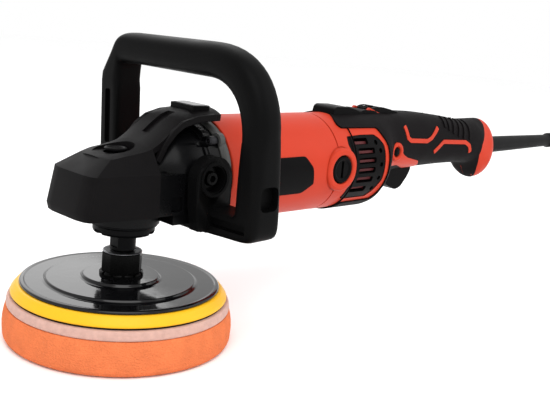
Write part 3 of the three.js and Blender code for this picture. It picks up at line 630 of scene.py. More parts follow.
def make_pad():
    foam = [(0, 0.3), (74, 0.1), (78.2, 1), (79.6, 3.5), (80, 9), (80.1, 12), (79.8, 16), (79, 20.5),
            (78.2, 23.2), (77.6, 24), (0, 24)]
    pad = lathe("foam_pad_soft", foam, segments=160, radius=0.8)
    bm = bmesh.new()
    bm.from_mesh(pad.data)
    for v in bm.verts:
        a = math.atan2(v.co.y, v.co.x)
        if v.co.xy.length > 0.06:
            ripple = 0.25 * math.sin(3 * a + 0.6) + 0.18 * math.sin(7 * a)
            ripple += 0.1 * math.sin(19 * a + v.co.z * 200)
            v.co.xy *= 1 - 0.0014 * (1 + ripple)
    bm.to_mesh(pad.data)
    bm.free()
    piece(soften(pad, 0), FOAM, "spindle_assembly", ("foam_pad",))
    layers = [
        ("velour_rim", [(0, 24.1), (76.9, 24.1), (77.7, 25.2), (77.5, 27), (77.2, 29), (76.4, 30.7),
                        (0, 30.7)],
         160, 0.6, VELOUR, ("velour_disc",)),
        # The hook layer, near black, whose rim is the painted shadow line under the backing plate.
        ("hook_layer_and_shadow", [(10, 30.9), (74.2, 30.9), (74.2, 32.2), (10, 32.2)], 160, 0.3, HOOK_LAYER_AND_SHADOW, ()),
        ("backing_plate_soft", [(10, 32), (74.6, 32), (75.3, 33), (74.7, 34.4), (73.4, 36), (71.6, 38.2),
                                (70.4, 39), (10, 39)], 160, 0.7, PLATE, ("backing_plate",)),
        ("drive_disc_gloss", [(10, 39.2), (69.2, 39.2), (69.4, 40.4), (68.6, 41.3), (66.8, 41.5),
                              (65.6, 41.1), (54, 41.1), (52.6, 41.6), (51.6, 43), (28.6, 43), (27.4, 43.5),
                              (26.4, 45.4), (10, 45.4)], 192, 0.6, GLOSS, ("drive_disc",)),
    ]
    for name, profile, segments, radius, material, nodes_hidden in layers:
        layer = lathe(name, profile, segments=segments, radius=radius)
        crease = 60 if material is GLOSS else 50
        piece(soften(layer, 0, crease=crease), material, "spindle_assembly", nodes_hidden)


def make_hub():
    """The plate's moulded hub with its notched base ring and pressed-in steel ring."""
    base = lathe("hub_base", [(10, 45.2), (15.4, 45.2), (15.4, 47.2), (14.6, 48.2), (10, 48.2)], radius=0.4)
    teeth = [turned_about(block(f"notch_{k}", (13.6, 17), (-1.1, 1.1), (46, 49)), 30 * k, "Z", (0, 0, 0))
             for k in range(12)]
    base = soften(carve(base, *teeth), 0.2)
    piece(base, HUB, "spindle_assembly")
    hub = carve(prism("hub_octagon", circle(0, 0, 14.3, 8, 22.5), "z", 45.6, 61.8),
                rod("hub_bore", "z", 9.3, 50, 64, segments=64))
    piece(soften(hub, 0.7, 3), HUB, "spindle_assembly", ("plate_hub",))
    insert = lathe("hub_steel_ring", [(7.1, 47), (9.2, 47), (9.2, 61), (13.6, 61.85), (13.9, 62.4),
                                      (13.2, 63), (8.2, 63), (7.1, 62.4)], segments=96)
    piece(soften(insert, 0.2), STEEL, "spindle_assembly")
    shaft = lathe("spindle_shaft", [(0, 34), (6.8, 34), (6.8, 62.8), (8.2, 63.1), (9, 64), (9, 78), (8, 78),
                                    (8, 99.5), (7, 99.5), (7, 113.5), (3.5, 113.5), (3.5, 129.5), (0, 129.5)])
    flats = [block(f"flat_{side}", span(side, 7.6, 9.8), (-12, 12), (66, 73)) for side in (-1, 1)]
    piece(soften(carve(shaft, *flats), 0.25), DARK_METAL, "spindle_assembly", ("spindle",), "steel")


make_pad()
make_hub()


# ---- gear head ----

HEAD_TOP = [(-32, 131), (-26, 132.4), (-18, 134.6), (-9.5, 136.2), (3.3, 139.2), (11.4, 144), (22, 152.4),
            (30, 157.6), (41.6, 161.4), (50.6, 163.2), (63, 163.8)]
HEAD_EDGE = [(-32, 130.5), (-26, 131), (-17, 133), (-9.5, 134.1), (3.3, 136.8), (11.4, 141.6), (22, 150),
             (30, 155), (41.6, 158.2), (50.6, 159.3), (63, 159.8)]
HEAD_HALF = [(-29.5, 10), (-27.8, 15.5), (-26, 17.8), (-16, 20), (8, 21), (63, 21.5)]
LOCK_X = -10
EAR = (42, 118.5)                           # X and Z of the bolts that hold the loop handle
SCREWS = circle(0, MOTOR_Z, 36, 4, 45)      # Y and Z of the screws of the gear case
ROOF_STEPS = 14


def roof(x, drop=0.0):
    """Points over the head's roof at one place along it, from one side to the other."""
    top, edge, half = eased(HEAD_TOP, x)[0], eased(HEAD_EDGE, x)[0], eased(HEAD_HALF, x)[0]
    out = []
    for k in range(ROOF_STEPS + 1):
        s = -1 + 2 * k / ROOF_STEPS
        out.append((x, s * half, edge + (top - edge) * (1 - abs(s) ** 2.8) - drop))
    return out


def flange_room():
    return rod("flange_room", "x", BARREL + 0.6, 55.8, 70, ON_MOTOR, 96)


def case_outside(name, extra):
    drum = lathe(name, [(0, 84 - extra), (24.5 + extra, 84 - extra), (24.5 + extra, 121),
                        (15 + extra, 131 + extra), (0, 131 + extra)], segments=96)
    profile = [(15, 0), (18.5, 8), (23, 15), (27.5, 20), (31, 26), (33, 40), (33, 56)]
    neck = lathe(name + "_neck", [(0, 0), *[(r + extra, x) for r, x in profile], (0, 56)], "x", ON_MOTOR, 96)
    return fuse(drum, neck)


def case_rooms():
    """Everything hollow in the gear case, from the crown gear's room to the screw holes."""
    rooms = [rod(f"room_{k}", "z", *sizes) for k, sizes in enumerate((
        (22, 98, 122.5), (17.1, 85, 98.1), (15, 83, 86), (6.6, 122, 130.2), (2.6, 122, 134, (LOCK_X, 0, 0))))]
    rooms += [rod("room_shaft", "x", 11, 0, 43, ON_MOTOR), rod("room_front", "x", 13.1, 42, 57, ON_MOTOR)]
    return rooms + [rod(f"room_screw_{k}", "x", 4.2, 40, 57, (0, y, z)) for k, (y, z) in enumerate(SCREWS)]


def make_case():
    case = case_outside("gear_case", 0)
    pads = [rod(f"ear_pad_{side}", "y", 12, *span(side, 20, 34.3), (EAR[0], 0, EAR[1])) for _, side in SIDES]
    rings = [lathe(f"case_ring_{k}", profile, "x", ON_MOTOR, 96) for k, profile in enumerate((
        [(20, 44.6), (34.4, 44.6), (34.6, 45.4), (34.4, 47), (20, 47)],
        [(20, 47), (35.2, 47.4), (36, 48.4), (36, 56), (20, 56)]))]
    flanks = [block(f"flank_{side}", (5.4, 27), span(side, 18, 31.5), (92.5, 121)) for _, side in SIDES]
    pockets = [block(f"pocket_{side}", (16, 25), span(side, 29.5, 33), (95, 105)) for _, side in SIDES]
    feet = [block(f"foot_{side}", (19, 38), span(side, 14, 30), (85, 108)) for _, side in SIDES]
    case = fuse(case, *pads, *rings, *feet, *flanks)
    case = soften(carve(case, *case_rooms(), *pockets), 0.5)
    piece(case, CASE, stands_for=("gear_housing",))


def make_bearing_cap():
    cap = lathe("bearing_cap", [(9.5, 76.2), (19.4, 76), (20.8, 76.6), (21.6, 78), (21.6, 81.5), (23.4, 82.4),
                                (23.4, 83.7), (13.2, 83.7), (13.2, 80), (9.5, 80)], radius=0.3)
    notches = [rod(f"cap_notch_{k}", "z", 4, 74, 79.4, (x, y, 0))
               for k, (x, y) in enumerate(circle(0, 0, 21.6, 3, 60))]
    piece(soften(carve(cap, *notches), 0.35), DARK_METAL, stands_for=("spindle_bearing_cap",))
    seal = lathe("shaft_seal", [(9.15, 76.6), (11.6, 76.4), (12.6, 77), (12.6, 77.6), (9.15, 77.6)],
                 radius=0.2)
    piece(soften(seal, 0), CORD, slot="black_rubber")


def head_ring(arch_x, band, side, bottom):
    """One loop round the head: roof points, then the band, side and bottom of both flanks."""
    top = roof(arch_x)
    right = [(band[0], -band[1], 121.5), (side[0], -side[1], 97), (bottom[0], -bottom[1], 92)]
    left = [(x, -y, z) for x, y, z in reversed(right)]
    half = ROOF_STEPS // 2
    return top[half:] + left[::-1] + right[::-1] + top[:half]


def head_rings():
    """Loops from the rounded nose back to where the cover ends at the gear case."""
    rings = [head_ring(-29.5, (-44.4, 14), (-49.5, 14.5), (-48.5, 14)),
             head_ring(-27.8, (-43, 22.3), (-47.8, 22.9), (-46.8, 22.3))]
    for k in range(11):
        t = k / 10
        rings.append(head_ring(-26 + 31 * t, (-40.9 + 45.9 * t, 25.6 + 6.4 * t),
                               (-45.4 + 50.4 * t, 26.2 + 6.3 * t), (-44.4 + 49.4 * t, 25.6 + 6.2 * t)))
    return rings


def head_shell():
    rings = head_rings()
    n = len(rings[0])
    points = [p for ring in rings for p in ring]
    faces = [[r * n + k, r * n + (k + 1) % n, (r + 1) * n + (k + 1) % n, (r + 1) * n + k]
             for r in range(len(rings) - 1) for k in range(n)]
    for start in (0, (len(rings) - 1) * n):
        left = [start + k for k in range(n // 2 + 1)]
        right = [start] + [start + n - k for k in range(1, n // 2 + 1)]
        for k in range(len(left) - 1):
            quad = [left[k], left[k + 1], right[k + 1], right[k]]
            faces.append(list(dict.fromkeys(quad)))
    head = made("head_cover_soft", points, [f for f in faces if len(f) > 2])
    soften(head, 2.2, 3, 24)
    head.modifiers.clear()
    return head


def make_head():
    """The rubber cover with its strap, cut to sit on the case, and a rail along each edge of the strap."""
    head = head_shell()
    strap = loft("head_strap", [roof(x) + [(a, b * 0.98, c) for a, b, c in reversed(roof(x, drop=4.6))]
                                for x in (2, 5, 8, 11, 14, 18, 22, 26, 30, 35, 40, 46, 52, 58, 63)],
                                ladder=True)
    head = fuse(head, strap)
    lock_room = rod("lock_room", "z", 8.6, 129, 145, (LOCK_X, 0, 0))
    oval = [(14.5 * x - 12, 13.5 * y) for x, y in circle(0, 0, 1, 40)]
    oval = prism("lock_recess", oval, "z", 132.7, 150)
    deep = fillet([(13.5, 143.2), (22, 149.8), (30, 155.2), (35.5, 157.4), (35.5, 168), (13.5, 154)], 1.2)
    slot = prism("strap_slot", deep, "y", -4, 4)
    screw_rooms = [rod(f"head_screw_{k}", "x", 4.6, 40, 57, (0, y, z)) for k, (y, z) in enumerate(SCREWS)]
    head = carve(head, case_outside("case_room", 0.3), flange_room(), lock_room, oval, slot, *screw_rooms)
    piece(soften(head, 0.5, 2, 40), RUBBER, stands_for=("head_cover",))
    course = [(9, 128.5), (11.5, 133.5), (15, 140), (22, 148.2), (30, 153.8), (41.6, 157), (58, 158.4)]
    for name, side in SIDES:
        rail = prism("head_rail_" + name, fillet(stroke(course, 4), 1.2), "y", *span(side, 19.6, 23))
        piece(soften(rail, 0.5), RUBBER)


def make_head_details():
    frame_edge = fillet([(44, -13.5), (57, -15.5), (60, -12), (60, 12), (57, 15.5), (44, 13.5)], 1.5)
    badge = prism("badge_frame", frame_edge, "z", 160, 165)
    piece(soften(badge, 0.4), PLASTIC, stands_for=("top_badge",), slot="silver_plastic")
    face_edge = [(45.5, -12), (56.3, -13.8), (58.5, -11.2), (58.5, 11.2), (56.3, 13.8), (45.5, 12)]
    face = prism("badge_face", fillet(face_edge, 1.2), "z", 164.9, 165.35)
    piece(soften(face, 0.15), GLOSS, slot="silver_plastic")
    cap = [(0, 134.3), (7.9, 134.3), (7.9, 135.4), (7.2, 136), (5.8, 136.1), (5, 135.6), (0, 135.5)]
    cap = lathe("lock_cap", cap, at=(LOCK_X, 0, 0), radius=0.3)
    pin = rod("lock_pin", "z", 2.2, 113, 135, (LOCK_X, 0, 0), 32)
    piece(soften(fuse(cap, pin), 0.15), PLASTIC, "spindle_lock", ("spindle_lock_button",))


def make_flange():
    profile = [(14, 56.2), (36.8, 56.2), (38.4, 57.6), (38.8, 59), (38.8, 62.1), (14, 62.1)]
    flange = lathe("flange_ring", profile, "x", ON_MOTOR, 128, 0.4)
    holes = [rod(f"flange_hole_{k}", "x", 2.3, 55, 63, (0, y, z), 24) for k, (y, z) in enumerate(SCREWS)]
    lugs = [rod(f"flange_lug_{k}", "x", 5.6, 56.2, 60.5, (0, y, z), 48) for k, (y, z) in enumerate(SCREWS)]
    flange = carve(fuse(flange, *lugs), *holes)
    piece(soften(flange, 0.4), CAST, stands_for=("gearcase_flange",))
    for k, (y, z) in enumerate(SCREWS):
        profile = [(0, 49), (2.4, 49), (3.5, 49.9), (3.6, 51), (3.6, 56), (1.9, 56), (1.9, 68), (0, 68)]
        head = lathe(f"gear_screw_round_{k + 1}", profile, "x", (0, y, z), 32)
        socket = prism(f"socket_{k}", circle(y, z, 1.7, 6), "x", 48, 51)
        piece(soften(carve(head, socket), 0.15), BLACKED, stands_for=(f"gear_screw_{k + 1}",))


make_case()
make_bearing_cap()
make_head()
make_head_details()
make_flange()


# ---- loop handle ----

HANDLE_X = (37, 61.5)
TILT = -2


def bezier(a, b, c, d, steps=10):
    out = []
    for k in range(steps + 1):
        t = k / steps
        out.append(tuple((1 - t) ** 3 * p + 3 * t * (1 - t) ** 2 * q + 3 * t * t * (1 - t) * r + t ** 3 * s
                         for p, q, r, s in zip(a, b, c, d)))
    return out


def line(a, b, steps):
    return [tuple(p + (q - p) * k / steps for p, q in zip(a, b)) for k in range(steps + 1)]


def handle_rails():
    """Matched outer and inner points round the loop, each with how square the section is there."""
    runs = [
        (line((-38, 80.2), (-66, 81.6), 6), line((-38, 98), (-66, 98), 6), 9, 9),
        (bezier((-72, 81.8), (-86, 82.4), (-90.9, 83), (-91, 96), 8),
         line((-66.8, 98), (-69.3, 101), 8), 9, 6),
        (line((-91, 100), (-91, 152), 8), line((-69.3, 104), (-69.3, 148), 8), 6, 2.9),
        (bezier((-91, 154), (-91, 190), (-68, 211), (-32, 211), 14),
         bezier((-69.3, 149), (-69.3, 172), (-56, 187), (-32, 187), 14), 2.7, 2.7),
        (line((-26, 211), (58, 209.6), 12), line((-26, 187), (58, 187), 12), 2.7, 3),
        (bezier((62, 209.5), (69, 209.3), (73, 206.5), (76, 201.8), 8),
         bezier((61, 187), (68.8, 187), (69.3, 187), (69.3, 181), 8), 3, 4),
        (line((80, 195.5), (91, 178.5), 3), line((69.3, 178), (69.3, 172), 3), 4, 5),
        (line((91, 172), (91, 100), 8), line((69.3, 166), (69.3, 104), 8), 7, 8),
        (bezier((91, 94), (90.6, 83), (86, 82.6), (74, 82), 8), line((69.3, 101), (66.8, 98), 8), 8, 9),
        (line((66, 81.6), (38, 80.2), 6), line((66, 98), (38, 98), 6), 9, 9),
    ]
    rails = []
    for outer, inner, first, last in runs:
        for k, (o, i) in enumerate(zip(outer, inner)):
            rails.append((o, i, first + (last - first) * k / (len(outer) - 1)))
    return rails


def handle_bar():
    """The loop itself: its section grows rounder along the grip and squarer down the legs."""
    x_mid, x_half = sum(HANDLE_X) / 2, (HANDLE_X[1] - HANDLE_X[0]) / 2
    rings = []
    for outer, inner, power in handle_rails():
        mid = [(a + b) / 2 for a, b in zip(outer, inner)]
        reach = [(a - b) / 2 for a, b in zip(outer, inner)]
        ring = []
        for k in range(40):
            a = 2 * math.pi * (k + 0.5) / 40
            c, s = (math.copysign(abs(v) ** (2 / power), v) for v in (math.cos(a), math.sin(a)))
            ring.append((x_mid + x_half * s, mid[0] + reach[0] * c, mid[1] + reach[1] * c))
        rings.append(ring)
    return loft("loop_handle", rings)


def handle_ear(name, side):
    """The ear on one side with its raised rim, and what is cut out of it and of the bar below."""
    x, z = EAR
    arch = circle(x, z, 16, 40)[:21]
    ear = [*arch, (26.4, 100), (29, 83), (55, 83), (57.6, 100)]
    ear = prism("ear_" + name, ear, "y", *span(side, 34.6, 44))
    rim = [(10.4, 0), (12.4, 0), (12.4, side * 45), (10.4, side * 45)]
    rim = lathe("ear_rim_" + name, rim, "y", (x, 0, z), 64)
    rim = carve(rim, rod("rim_core", "y", 20, *span(side, -1, 36), (x, 0, z)))
    root = block("bar_root_" + name, (38, 57), span(side, 34.6, 42), (80.6, 96))
    slot = fillet([(side * 45, 86.8), (side * 82, 88), (side * 82, 94.5), (side * 45, 94)], 2)
    cuts = [rod("ear_recess_" + name, "y", 9.4, *span(side, 37.4, 46), (x, 0, z), 64),
            rod("ear_hole_" + name, "y", 4.3, *span(side, 30, 50), (x, 0, z)),
            prism("bar_slot_" + name, slot, "x", HANDLE_X[0] - 1, HANDLE_X[0] + 4)]
    return [ear, rim, root], cuts


def make_bolts():
    x, z = EAR
    profile = [(0, 26), (3, 26), (3, 37.7), (7.6, 37.7), (7.8, 38.2), (7.8, 38.7), (5.2, 38.8), (5, 41.2),
               (4.4, 41.8), (0, 41.8)]
    for name, side in SIDES:
        bolt = lathe("handle_bolt_round_" + name, [(r, side * h) for r, h in profile], "y", (x, 0, z), 48)
        socket = prism("bolt_socket", circle(x, z, 2.6, 6), "y", *span(side, 39.4, 46))
        piece(soften(carve(bolt, socket), 0.25), HUB, stands_for=("handle_bolt_" + name,), slot="steel")


def make_handle():
    bar = handle_bar()
    ears, cuts = [], []
    for name, side in SIDES:
        solids, rooms = handle_ear(name, side)
        ears += solids
        cuts += rooms
    strap = block("under_strap", (38, 54), (-36, 36), (79.5, 82.4))
    handle = fuse(bar, *ears, strap)
    pockets = [((42, 105), (58, 105), (58, 121.5), (42, 122), 5, "y", -94, -84.5),
               ((76.6, 124), (83.4, 124), (83.4, 166), (76.6, 166), 2.5, "x", 36, 40),
               ((-83.4, 124), (-76.6, 124), (-76.6, 160), (-83.4, 160), 2.5, "x", 58, 63)]
    cuts += [prism(f"leg_pocket_{k}", fillet(row[:4], row[4]), *row[5:]) for k, row in enumerate(pockets)]
    handle = carve(handle, *cuts)
    soften(handle, 0.7, 2, 40)
    turned_about(handle, TILT, "Y", (EAR[0], 0, EAR[1]))
    handle.modifiers.clear()
    handle = carve(handle, flange_room())
    piece(soften(handle, 0), HANDLE, stands_for=("side_handle",))
    make_bolts()


make_handle()


# ---- motor housing ----

BRUSH_X = 179


def on_barrel(x, turn, lift):
    """A point of the barrel's near flank; turn runs up round it, in millimetres of arc."""
    a = turn / BARREL
    return (x, -(BARREL + lift) * math.cos(a), MOTOR_Z + (BARREL + lift) * math.sin(a))


def arc_height(z):
    return BARREL * math.asin((z - MOTOR_Z) / BARREL)


def make_barrel():
    profile = [(14, 62.4), (38.4, 62.4), (39.6, 62.9), (40, 64), (40, 175.2), (39.5, 176), (36.6, 176),
               (36.6, 199), (11.3, 199), (11.3, 191.5), (33.5, 191.5), (33.5, 150), (37, 148), (37, 66.5),
               (14, 66.5)]
    barrel = lathe("motor_barrel", profile, "x", ON_MOTOR, 160)
    rooms = [rod(f"brush_room_{side}", "y", 17.9, *span(side, 20, 46), (BRUSH_X, 0, MOTOR_Z), 96)
             for _, side in SIDES]
    barrel = carve(barrel, *rooms)
    piece(soften(barrel, 0.35), RED, stands_for=("motor_housing",))
    outline = [(93, arc_height(100)), (137, arc_height(100)), (147.5, arc_height(107)),
               (147.5, arc_height(108)), (145.3, arc_height(120)), (136.8, arc_height(129)),
               (93, arc_height(129))]
    plate = panel("rating_plate", fillet(outline, 2.5), on_barrel, 0.02, 0.45)
    soften(plate, 0.15)
    far = mirrored(plate, "rating_plate_left")
    piece(plate, PLASTIC)
    piece(far, PLASTIC)
    for name, side in SIDES:
        boss = lathe("brush_boss_" + name, [(r, side * h) for r, h in (
            (11.5, 24), (17.5, 24), (17.5, 39.6), (16.9, 40.9), (15.4, 41.6), (12.9, 41.6), (12.1, 41.2),
            (11.5, 40.2))],
            "y", (BRUSH_X, 0, MOTOR_Z), 96)
        piece(soften(boss, 0), RED)
        cap = lathe("brush_cap_round_" + name, [(r, side * h) for r, h in (
            (0, 33), (11.1, 33), (11.1, 40.1), (10.4, 41), (9.4, 41.3), (8.2, 41), (7.6, 40.4), (0, 40.4))],
            "y", (BRUSH_X, 0, MOTOR_Z), 72)
        slot = block("driver_slot", (BRUSH_X - 1.3, BRUSH_X + 1.3), span(side, 38.4, 43),
                     (MOTOR_Z - 6.8, MOTOR_Z + 6.8))
        piece(soften(carve(cap, slot), 0.25), PLASTIC, stands_for=("brush_cap_" + name,))


make_barrel()


# ---- rear body ----

REAR = [(176.3, 156.5, 76.5, 40, 2), (236, 156.5, 76.5, 40, 2), (242, 156.5, 80, 38.6, 2),
        (248, 156.5, 86, 34, 2.1), (254, 156.5, 93, 30, 2.3), (262, 156.5, 100.5, 27.8, 2.5),
        (284, 156.5, 104.5, 26, 2.6), (305, 156, 105, 24.5, 2.6), (355, 151.5, 105.5, 23, 2.5),
        (392, 147, 104.5, 23, 2.3), (404, 147.1, 103, 22.6, 2.2), (411, 147.3, 95, 22.5, 2.1),
        (417, 147.5, 88.8, 22.5, 2.05), (422, 147.5, 87, 22.6, 2), (427, 146.8, 87.8, 22, 2),
        (431, 144.8, 89.8, 20.5, 2), (434, 141.8, 92.8, 18.5, 2), (436.5, 137.3, 97.3, 15.5, 2),
        (438, 131, 105, 11.5, 2)]
SKIN = 1.4                                  # thickness of the rubber over the grip
ARC = 0.62                                  # millimetres of panel for one degree round the body
LOCK_ON = (262, 0, 125)                     # axis of the lock-on button


def on_rear(x, turn, lift):
    """A point of the rear body's near flank: turn / ARC is the angle round it, 90 at the top."""
    top, bottom, half, power = eased(REAR, x)
    a = math.radians(max(-90, min(90, turn / ARC)))
    c, s = (math.copysign(abs(v) ** (2 / power), v) for v in (max(0, math.cos(a)), math.sin(a)))
    return (x, -0.15 - (half + lift) * c, (top + bottom) / 2 + ((top - bottom) / 2 + lift) * s)


def turn_at(x, z):
    top, bottom, _, power = eased(REAR, x)
    s = max(-1.0, min(1.0, (2 * z - top - bottom) / (top - bottom)))
    return ARC * math.degrees(math.copysign(math.asin(abs(s) ** (power / 2)), s))


def draped(outline):
    """A side-view outline of (x, z) points, carried onto the body's surface."""
    return [(x, turn_at(x, z)) for x, z in divided(outline, 3)]


def inset(x):
    """How far the red shell lies below the body's surface: under the skin of the grip, not before it."""
    return SKIN * min(1.0, max(0.0, (x - 250) / 12))


VENT = [(190, 141.5), (208, 142.2), (225, 142), (230, 138.8), (234, 134), (234.5, 128.5), (234.2, 117),
        (234, 104), (229, 95), (224, 88.8), (195, 88.8), (190, 90.6), (192.4, 103), (195, 111.5),
        (195.2, 120.4), (192.5, 127.7), (188.8, 135.4)]
VENT_SLOTS = [(137.6, 197, 214.5), (129.8, 200.5, 221), (121.9, 200.8, 222.4), (113.8, 201.2, 222),
              (105.6, 200.6, 221), (97, 197.5, 217)]
VENT_HOLES = [(224.5, 136.2), (228.6, 129.5), (229.3, 117.8), (229, 106), (225.6, 96.6)]
BRACKET = [(262, 133.2), (266.3, 131.9), (270, 128.8), (272.6, 124.8), (277, 121.2), (284.7, 118),
           (305.7, 113.6), (312, 108), (309, 105), (301, 104.6), (285, 108), (271, 112), (259.5, 111.8),
           (257, 117), (254.6, 121.5), (254.2, 126), (256, 130.3), (258.8, 132.6)]
STRIPES = [[(275.8, 146.6), (279.7, 136.2), (284.6, 133.6), (311.4, 131.9), (318.1, 134.5), (328.7, 143.4)],
           [(325.5, 120.9), (338.7, 130.1), (375.3, 128.2), (382.7, 124.7), (386.7, 117.9)]]
FRONT_EDGE = [(196, 156.5), (193.5, 155.8), (190, 154.2), (187, 151.9), (185.8, 149.4), (188.3, 147.1),
              (210, 146.8), (231.7, 146.4), (234, 142), (237, 136.3), (238.7, 132.3), (239, 124), (239, 108),
              (237.5, 98), (233.3, 86), (219.8, 85.6), (198, 85.2), (194, 79), (194, 76.5)]
RIBS = [((347, 151), (342.4, 142.6)), ((354.5, 150), (348.4, 139.7)), ((363.7, 149), (354.7, 136.8)),
        ((372.3, 148), (363.1, 133.7)), ((380.5, 147), (371.9, 131.5)), ((388.8, 146.4), (382.4, 130.1))]


def rear_shell():
    """The red half shell under everything else, open where the trigger, dial and vents go."""
    rings = []
    xs = [176.4, 178] + [180 + 4 * k for k in range(58)] + [411.8]
    for x in xs:
        ring = [on_rear(x, ARC * (-90 + 6 * k), -inset(x)) for k in range(31)]
        ring += [on_rear(x, ARC * (90 - 6 * k), -inset(x) - 2.4) for k in range(31)]
        rings.append(ring)
    shell = loft("rear_shell_right", rings, ladder=True)
    window = prism("vent_window", fillet(VENT, 1.5), "y", -50, -15)
    boss = rod("boss_room", "y", 17.9, -50, -20, (BRUSH_X, 0, MOTOR_Z), 96)
    return carve(shell, window, boss, *grip_rooms())


def grip_rooms():
    button = rod("button_room", "y", 4.3, -50, -5, LOCK_ON, 48)
    return [block("trigger_room", (257, 319), (-9.5, 9.5), (80, 116)),
            block("dial_room", (234, 266), (-6, 6), (135, 170)),
            button]


def rear_skin():
    """The black rubber over the red shell, with openings for the bracket and the two stripes."""
    edge = [(x, turn_at(x, z)) for x, z in divided(fillet(FRONT_EDGE, 2, closed=False), 3)[:-1]]
    edge[0] = (196, ARC * 90)
    bottom = ARC * -90
    rear = [(423.5, -90), (419, -65), (412.5, -46), (406.5, -24), (407, 2), (410.5, 20), (414, 36), (419, 58),
            (423.5, 90)]
    outline = edge + [(194, bottom)] + [(x, ARC * turn) for x, turn in rear]
    holes = [draped(fillet(BRACKET, 2))] + [draped(fillet(stroke(s, 4.4), 0.9)) for s in STRIPES]
    skin = panel("grip_skin_soft_right", outline, on_grip, -SKIN, 0, holes, 4.0)
    return carve(skin, *grip_rooms())


def on_grip(x, turn, lift):
    """A point over the grip's rubber, which has its full thickness behind the front edge only."""
    return on_rear(x, turn, SKIN - inset(x) + lift)


def bar_outline(low, high, z, below, above):
    return [(low, z - below), (high, z - below), (high, z + above), (low, z + above)]


def vent_panels():
    """The vent's face with its slots and holes, a black sheet behind it as painted shade, and a louvre behind
    each slot in red darkened as painted shade.
    Each comes with its finish and the CAD node it stands for, without the side in the node's name."""
    face_holes = [draped(fillet(bar_outline(a, b, z, 2.5, 2.5), 1.6)) for z, a, b in VENT_SLOTS]
    face_holes += [draped(circle(x, z, 2.0)) for x, z in VENT_HOLES]
    edge = draped(fillet(VENT, 1.5))
    face = panel("vent_face_right", edge, on_rear, -2.6, -0.5, face_holes, 3.0)
    yield soften(face, 0.35), PLASTIC, "vent_grille_"
    # A black sheet deep in the vent, put there as painted shade behind the slots.
    shade_sheet = panel("vent_liner_right", edge, on_rear, -8.5, -7.5, (), 5.0)
    yield soften(shade_sheet, 0), PLASTIC, None
    # The louvres take the red darkened as painted shade.
    for k, (z, a, b) in enumerate(VENT_SLOTS):
        louvre = draped(bar_outline(a - 2, b + 2, z, 1.5, 0.9))
        louvre = panel(f"vent_louvre_{k + 1}_right", louvre, on_rear, -5.5, -3.1, (), 5.0)
        yield soften(louvre, 0.2), RED_PAINTED_SHADE, None


def grip_trim():
    """The red bracket over the trigger with its collar, the red stripes, and the ribs of the rubber,
    which stand for no CAD node."""
    button = draped(circle(LOCK_ON[0], LOCK_ON[2], 4.35, 24))
    bracket = panel("trigger_bracket_right", draped(fillet(BRACKET, 2)), on_grip, -SKIN, 0.35, [button], 3.0)
    yield soften(bracket, 0.5), RED, None
    collar = [(4.5, -24), (8.2, -24), (8.2, -29.4), (7.4, -30.3), (6.2, -30.5), (5.2, -30.1), (4.5, -29.2)]
    collar = lathe("trigger_bracket_collar_right", collar, "y", LOCK_ON, 64)
    yield soften(collar, 0), RED, None
    for k, points in enumerate(STRIPES):
        outline = draped(fillet(stroke(points, 3.9), 0.8))
        stripe = panel(f"grip_stripe_{k + 1}_right", outline, on_rear, -SKIN, 0.45, (), 2.5)
        yield soften(stripe, 0.3), RED, None
    for k, (a, b) in enumerate(RIBS):
        bend = ((a[0] + b[0]) / 2 - 1.2, (a[1] + b[1]) / 2 + 0.4)
        outline = draped(fillet(stroke([a, bend, b], 3.4), 1.2))
        rib = panel(f"grip_rib_{k + 1}_right", outline, on_rear, -0.6, 1.0, (), 2.0)
        yield soften(rib, 0.3), GRIP, None


def make_rear():
    """Both halves of the rear body: everything is made for the right and mirrored to the left."""
    blank = lathe("bracket_blank", [(0, 22), (4.3, 22), (4.3, 28.6), (3.8, 29), (0, 29)], "y", LOCK_ON, 48)
    piece(soften(blank, 0), RED)
    pieces = [(soften(rear_shell(), 0.3), RED, "handle_shell_"),
              (soften(rear_skin(), 0.35, 2, 40), GRIP, "grip_skin_"),
              *vent_panels(), *grip_trim()]
    for obj, material, node in pieces:
        far = mirrored(obj, obj.name.replace("_right", "_left"))
        piece(obj, material, stands_for=(node + "right",) if node else ())
        piece(far, material, stands_for=(node + "left",) if node else ())


make_rear()


# ---- top module, dial, trigger ----

DIAL = (250, 0, 149)
DIAL_RADIUS = 13.4


def make_top():
    """The black cover on top in three blocks, open for the dial, and the red wedges beside it."""
    front = [(193, 155.5), (194.5, 161), (197.5, 162.6), (212, 162.2), (221, 160.2), (229, 157.6),
             (232, 155.5)]
    middle = [(228, 155.5), (230.5, 158.6), (235, 159.6), (250, 158.2), (253, 155.5)]
    rear = [(244, 155.5), (247, 160.5), (252, 161.6), (262, 161), (272, 159.2), (281, 156.8), (286, 154.5)]
    first = prism("top_block_front", fillet(front, 1.4), "y", -12, 12)
    piece(soften(first, 0.8), PLASTIC, stands_for=("saddle_cover",))
    for name, outline, half in (("middle", middle, 11), ("rear", rear, 9)):
        room = block("dial_slot", (236.2, 263.8), (-5.8, 5.8), (148, 170))
        cover = carve(prism("top_block_" + name, fillet(outline, 1.4), "y", -half, half), room)
        piece(soften(cover, 0.6), PLASTIC)
    for name, side in SIDES:
        wedge = fillet([(236.5, 155.6), (242.5, 161), (257, 156)], 0.8)
        wedge = prism("dial_wedge_" + name, wedge, "y", *span(side, 7, 9.5))
        piece(soften(wedge, 0.3), RED)
        face = fillet([(240, 156.4), (243, 159.2), (250.5, 156.6)], 0.4)
        face = prism("dial_wedge_face_" + name, face, "y", *span(side, 9.3, 9.9))
        piece(soften(face, 0.15), PLASTIC)


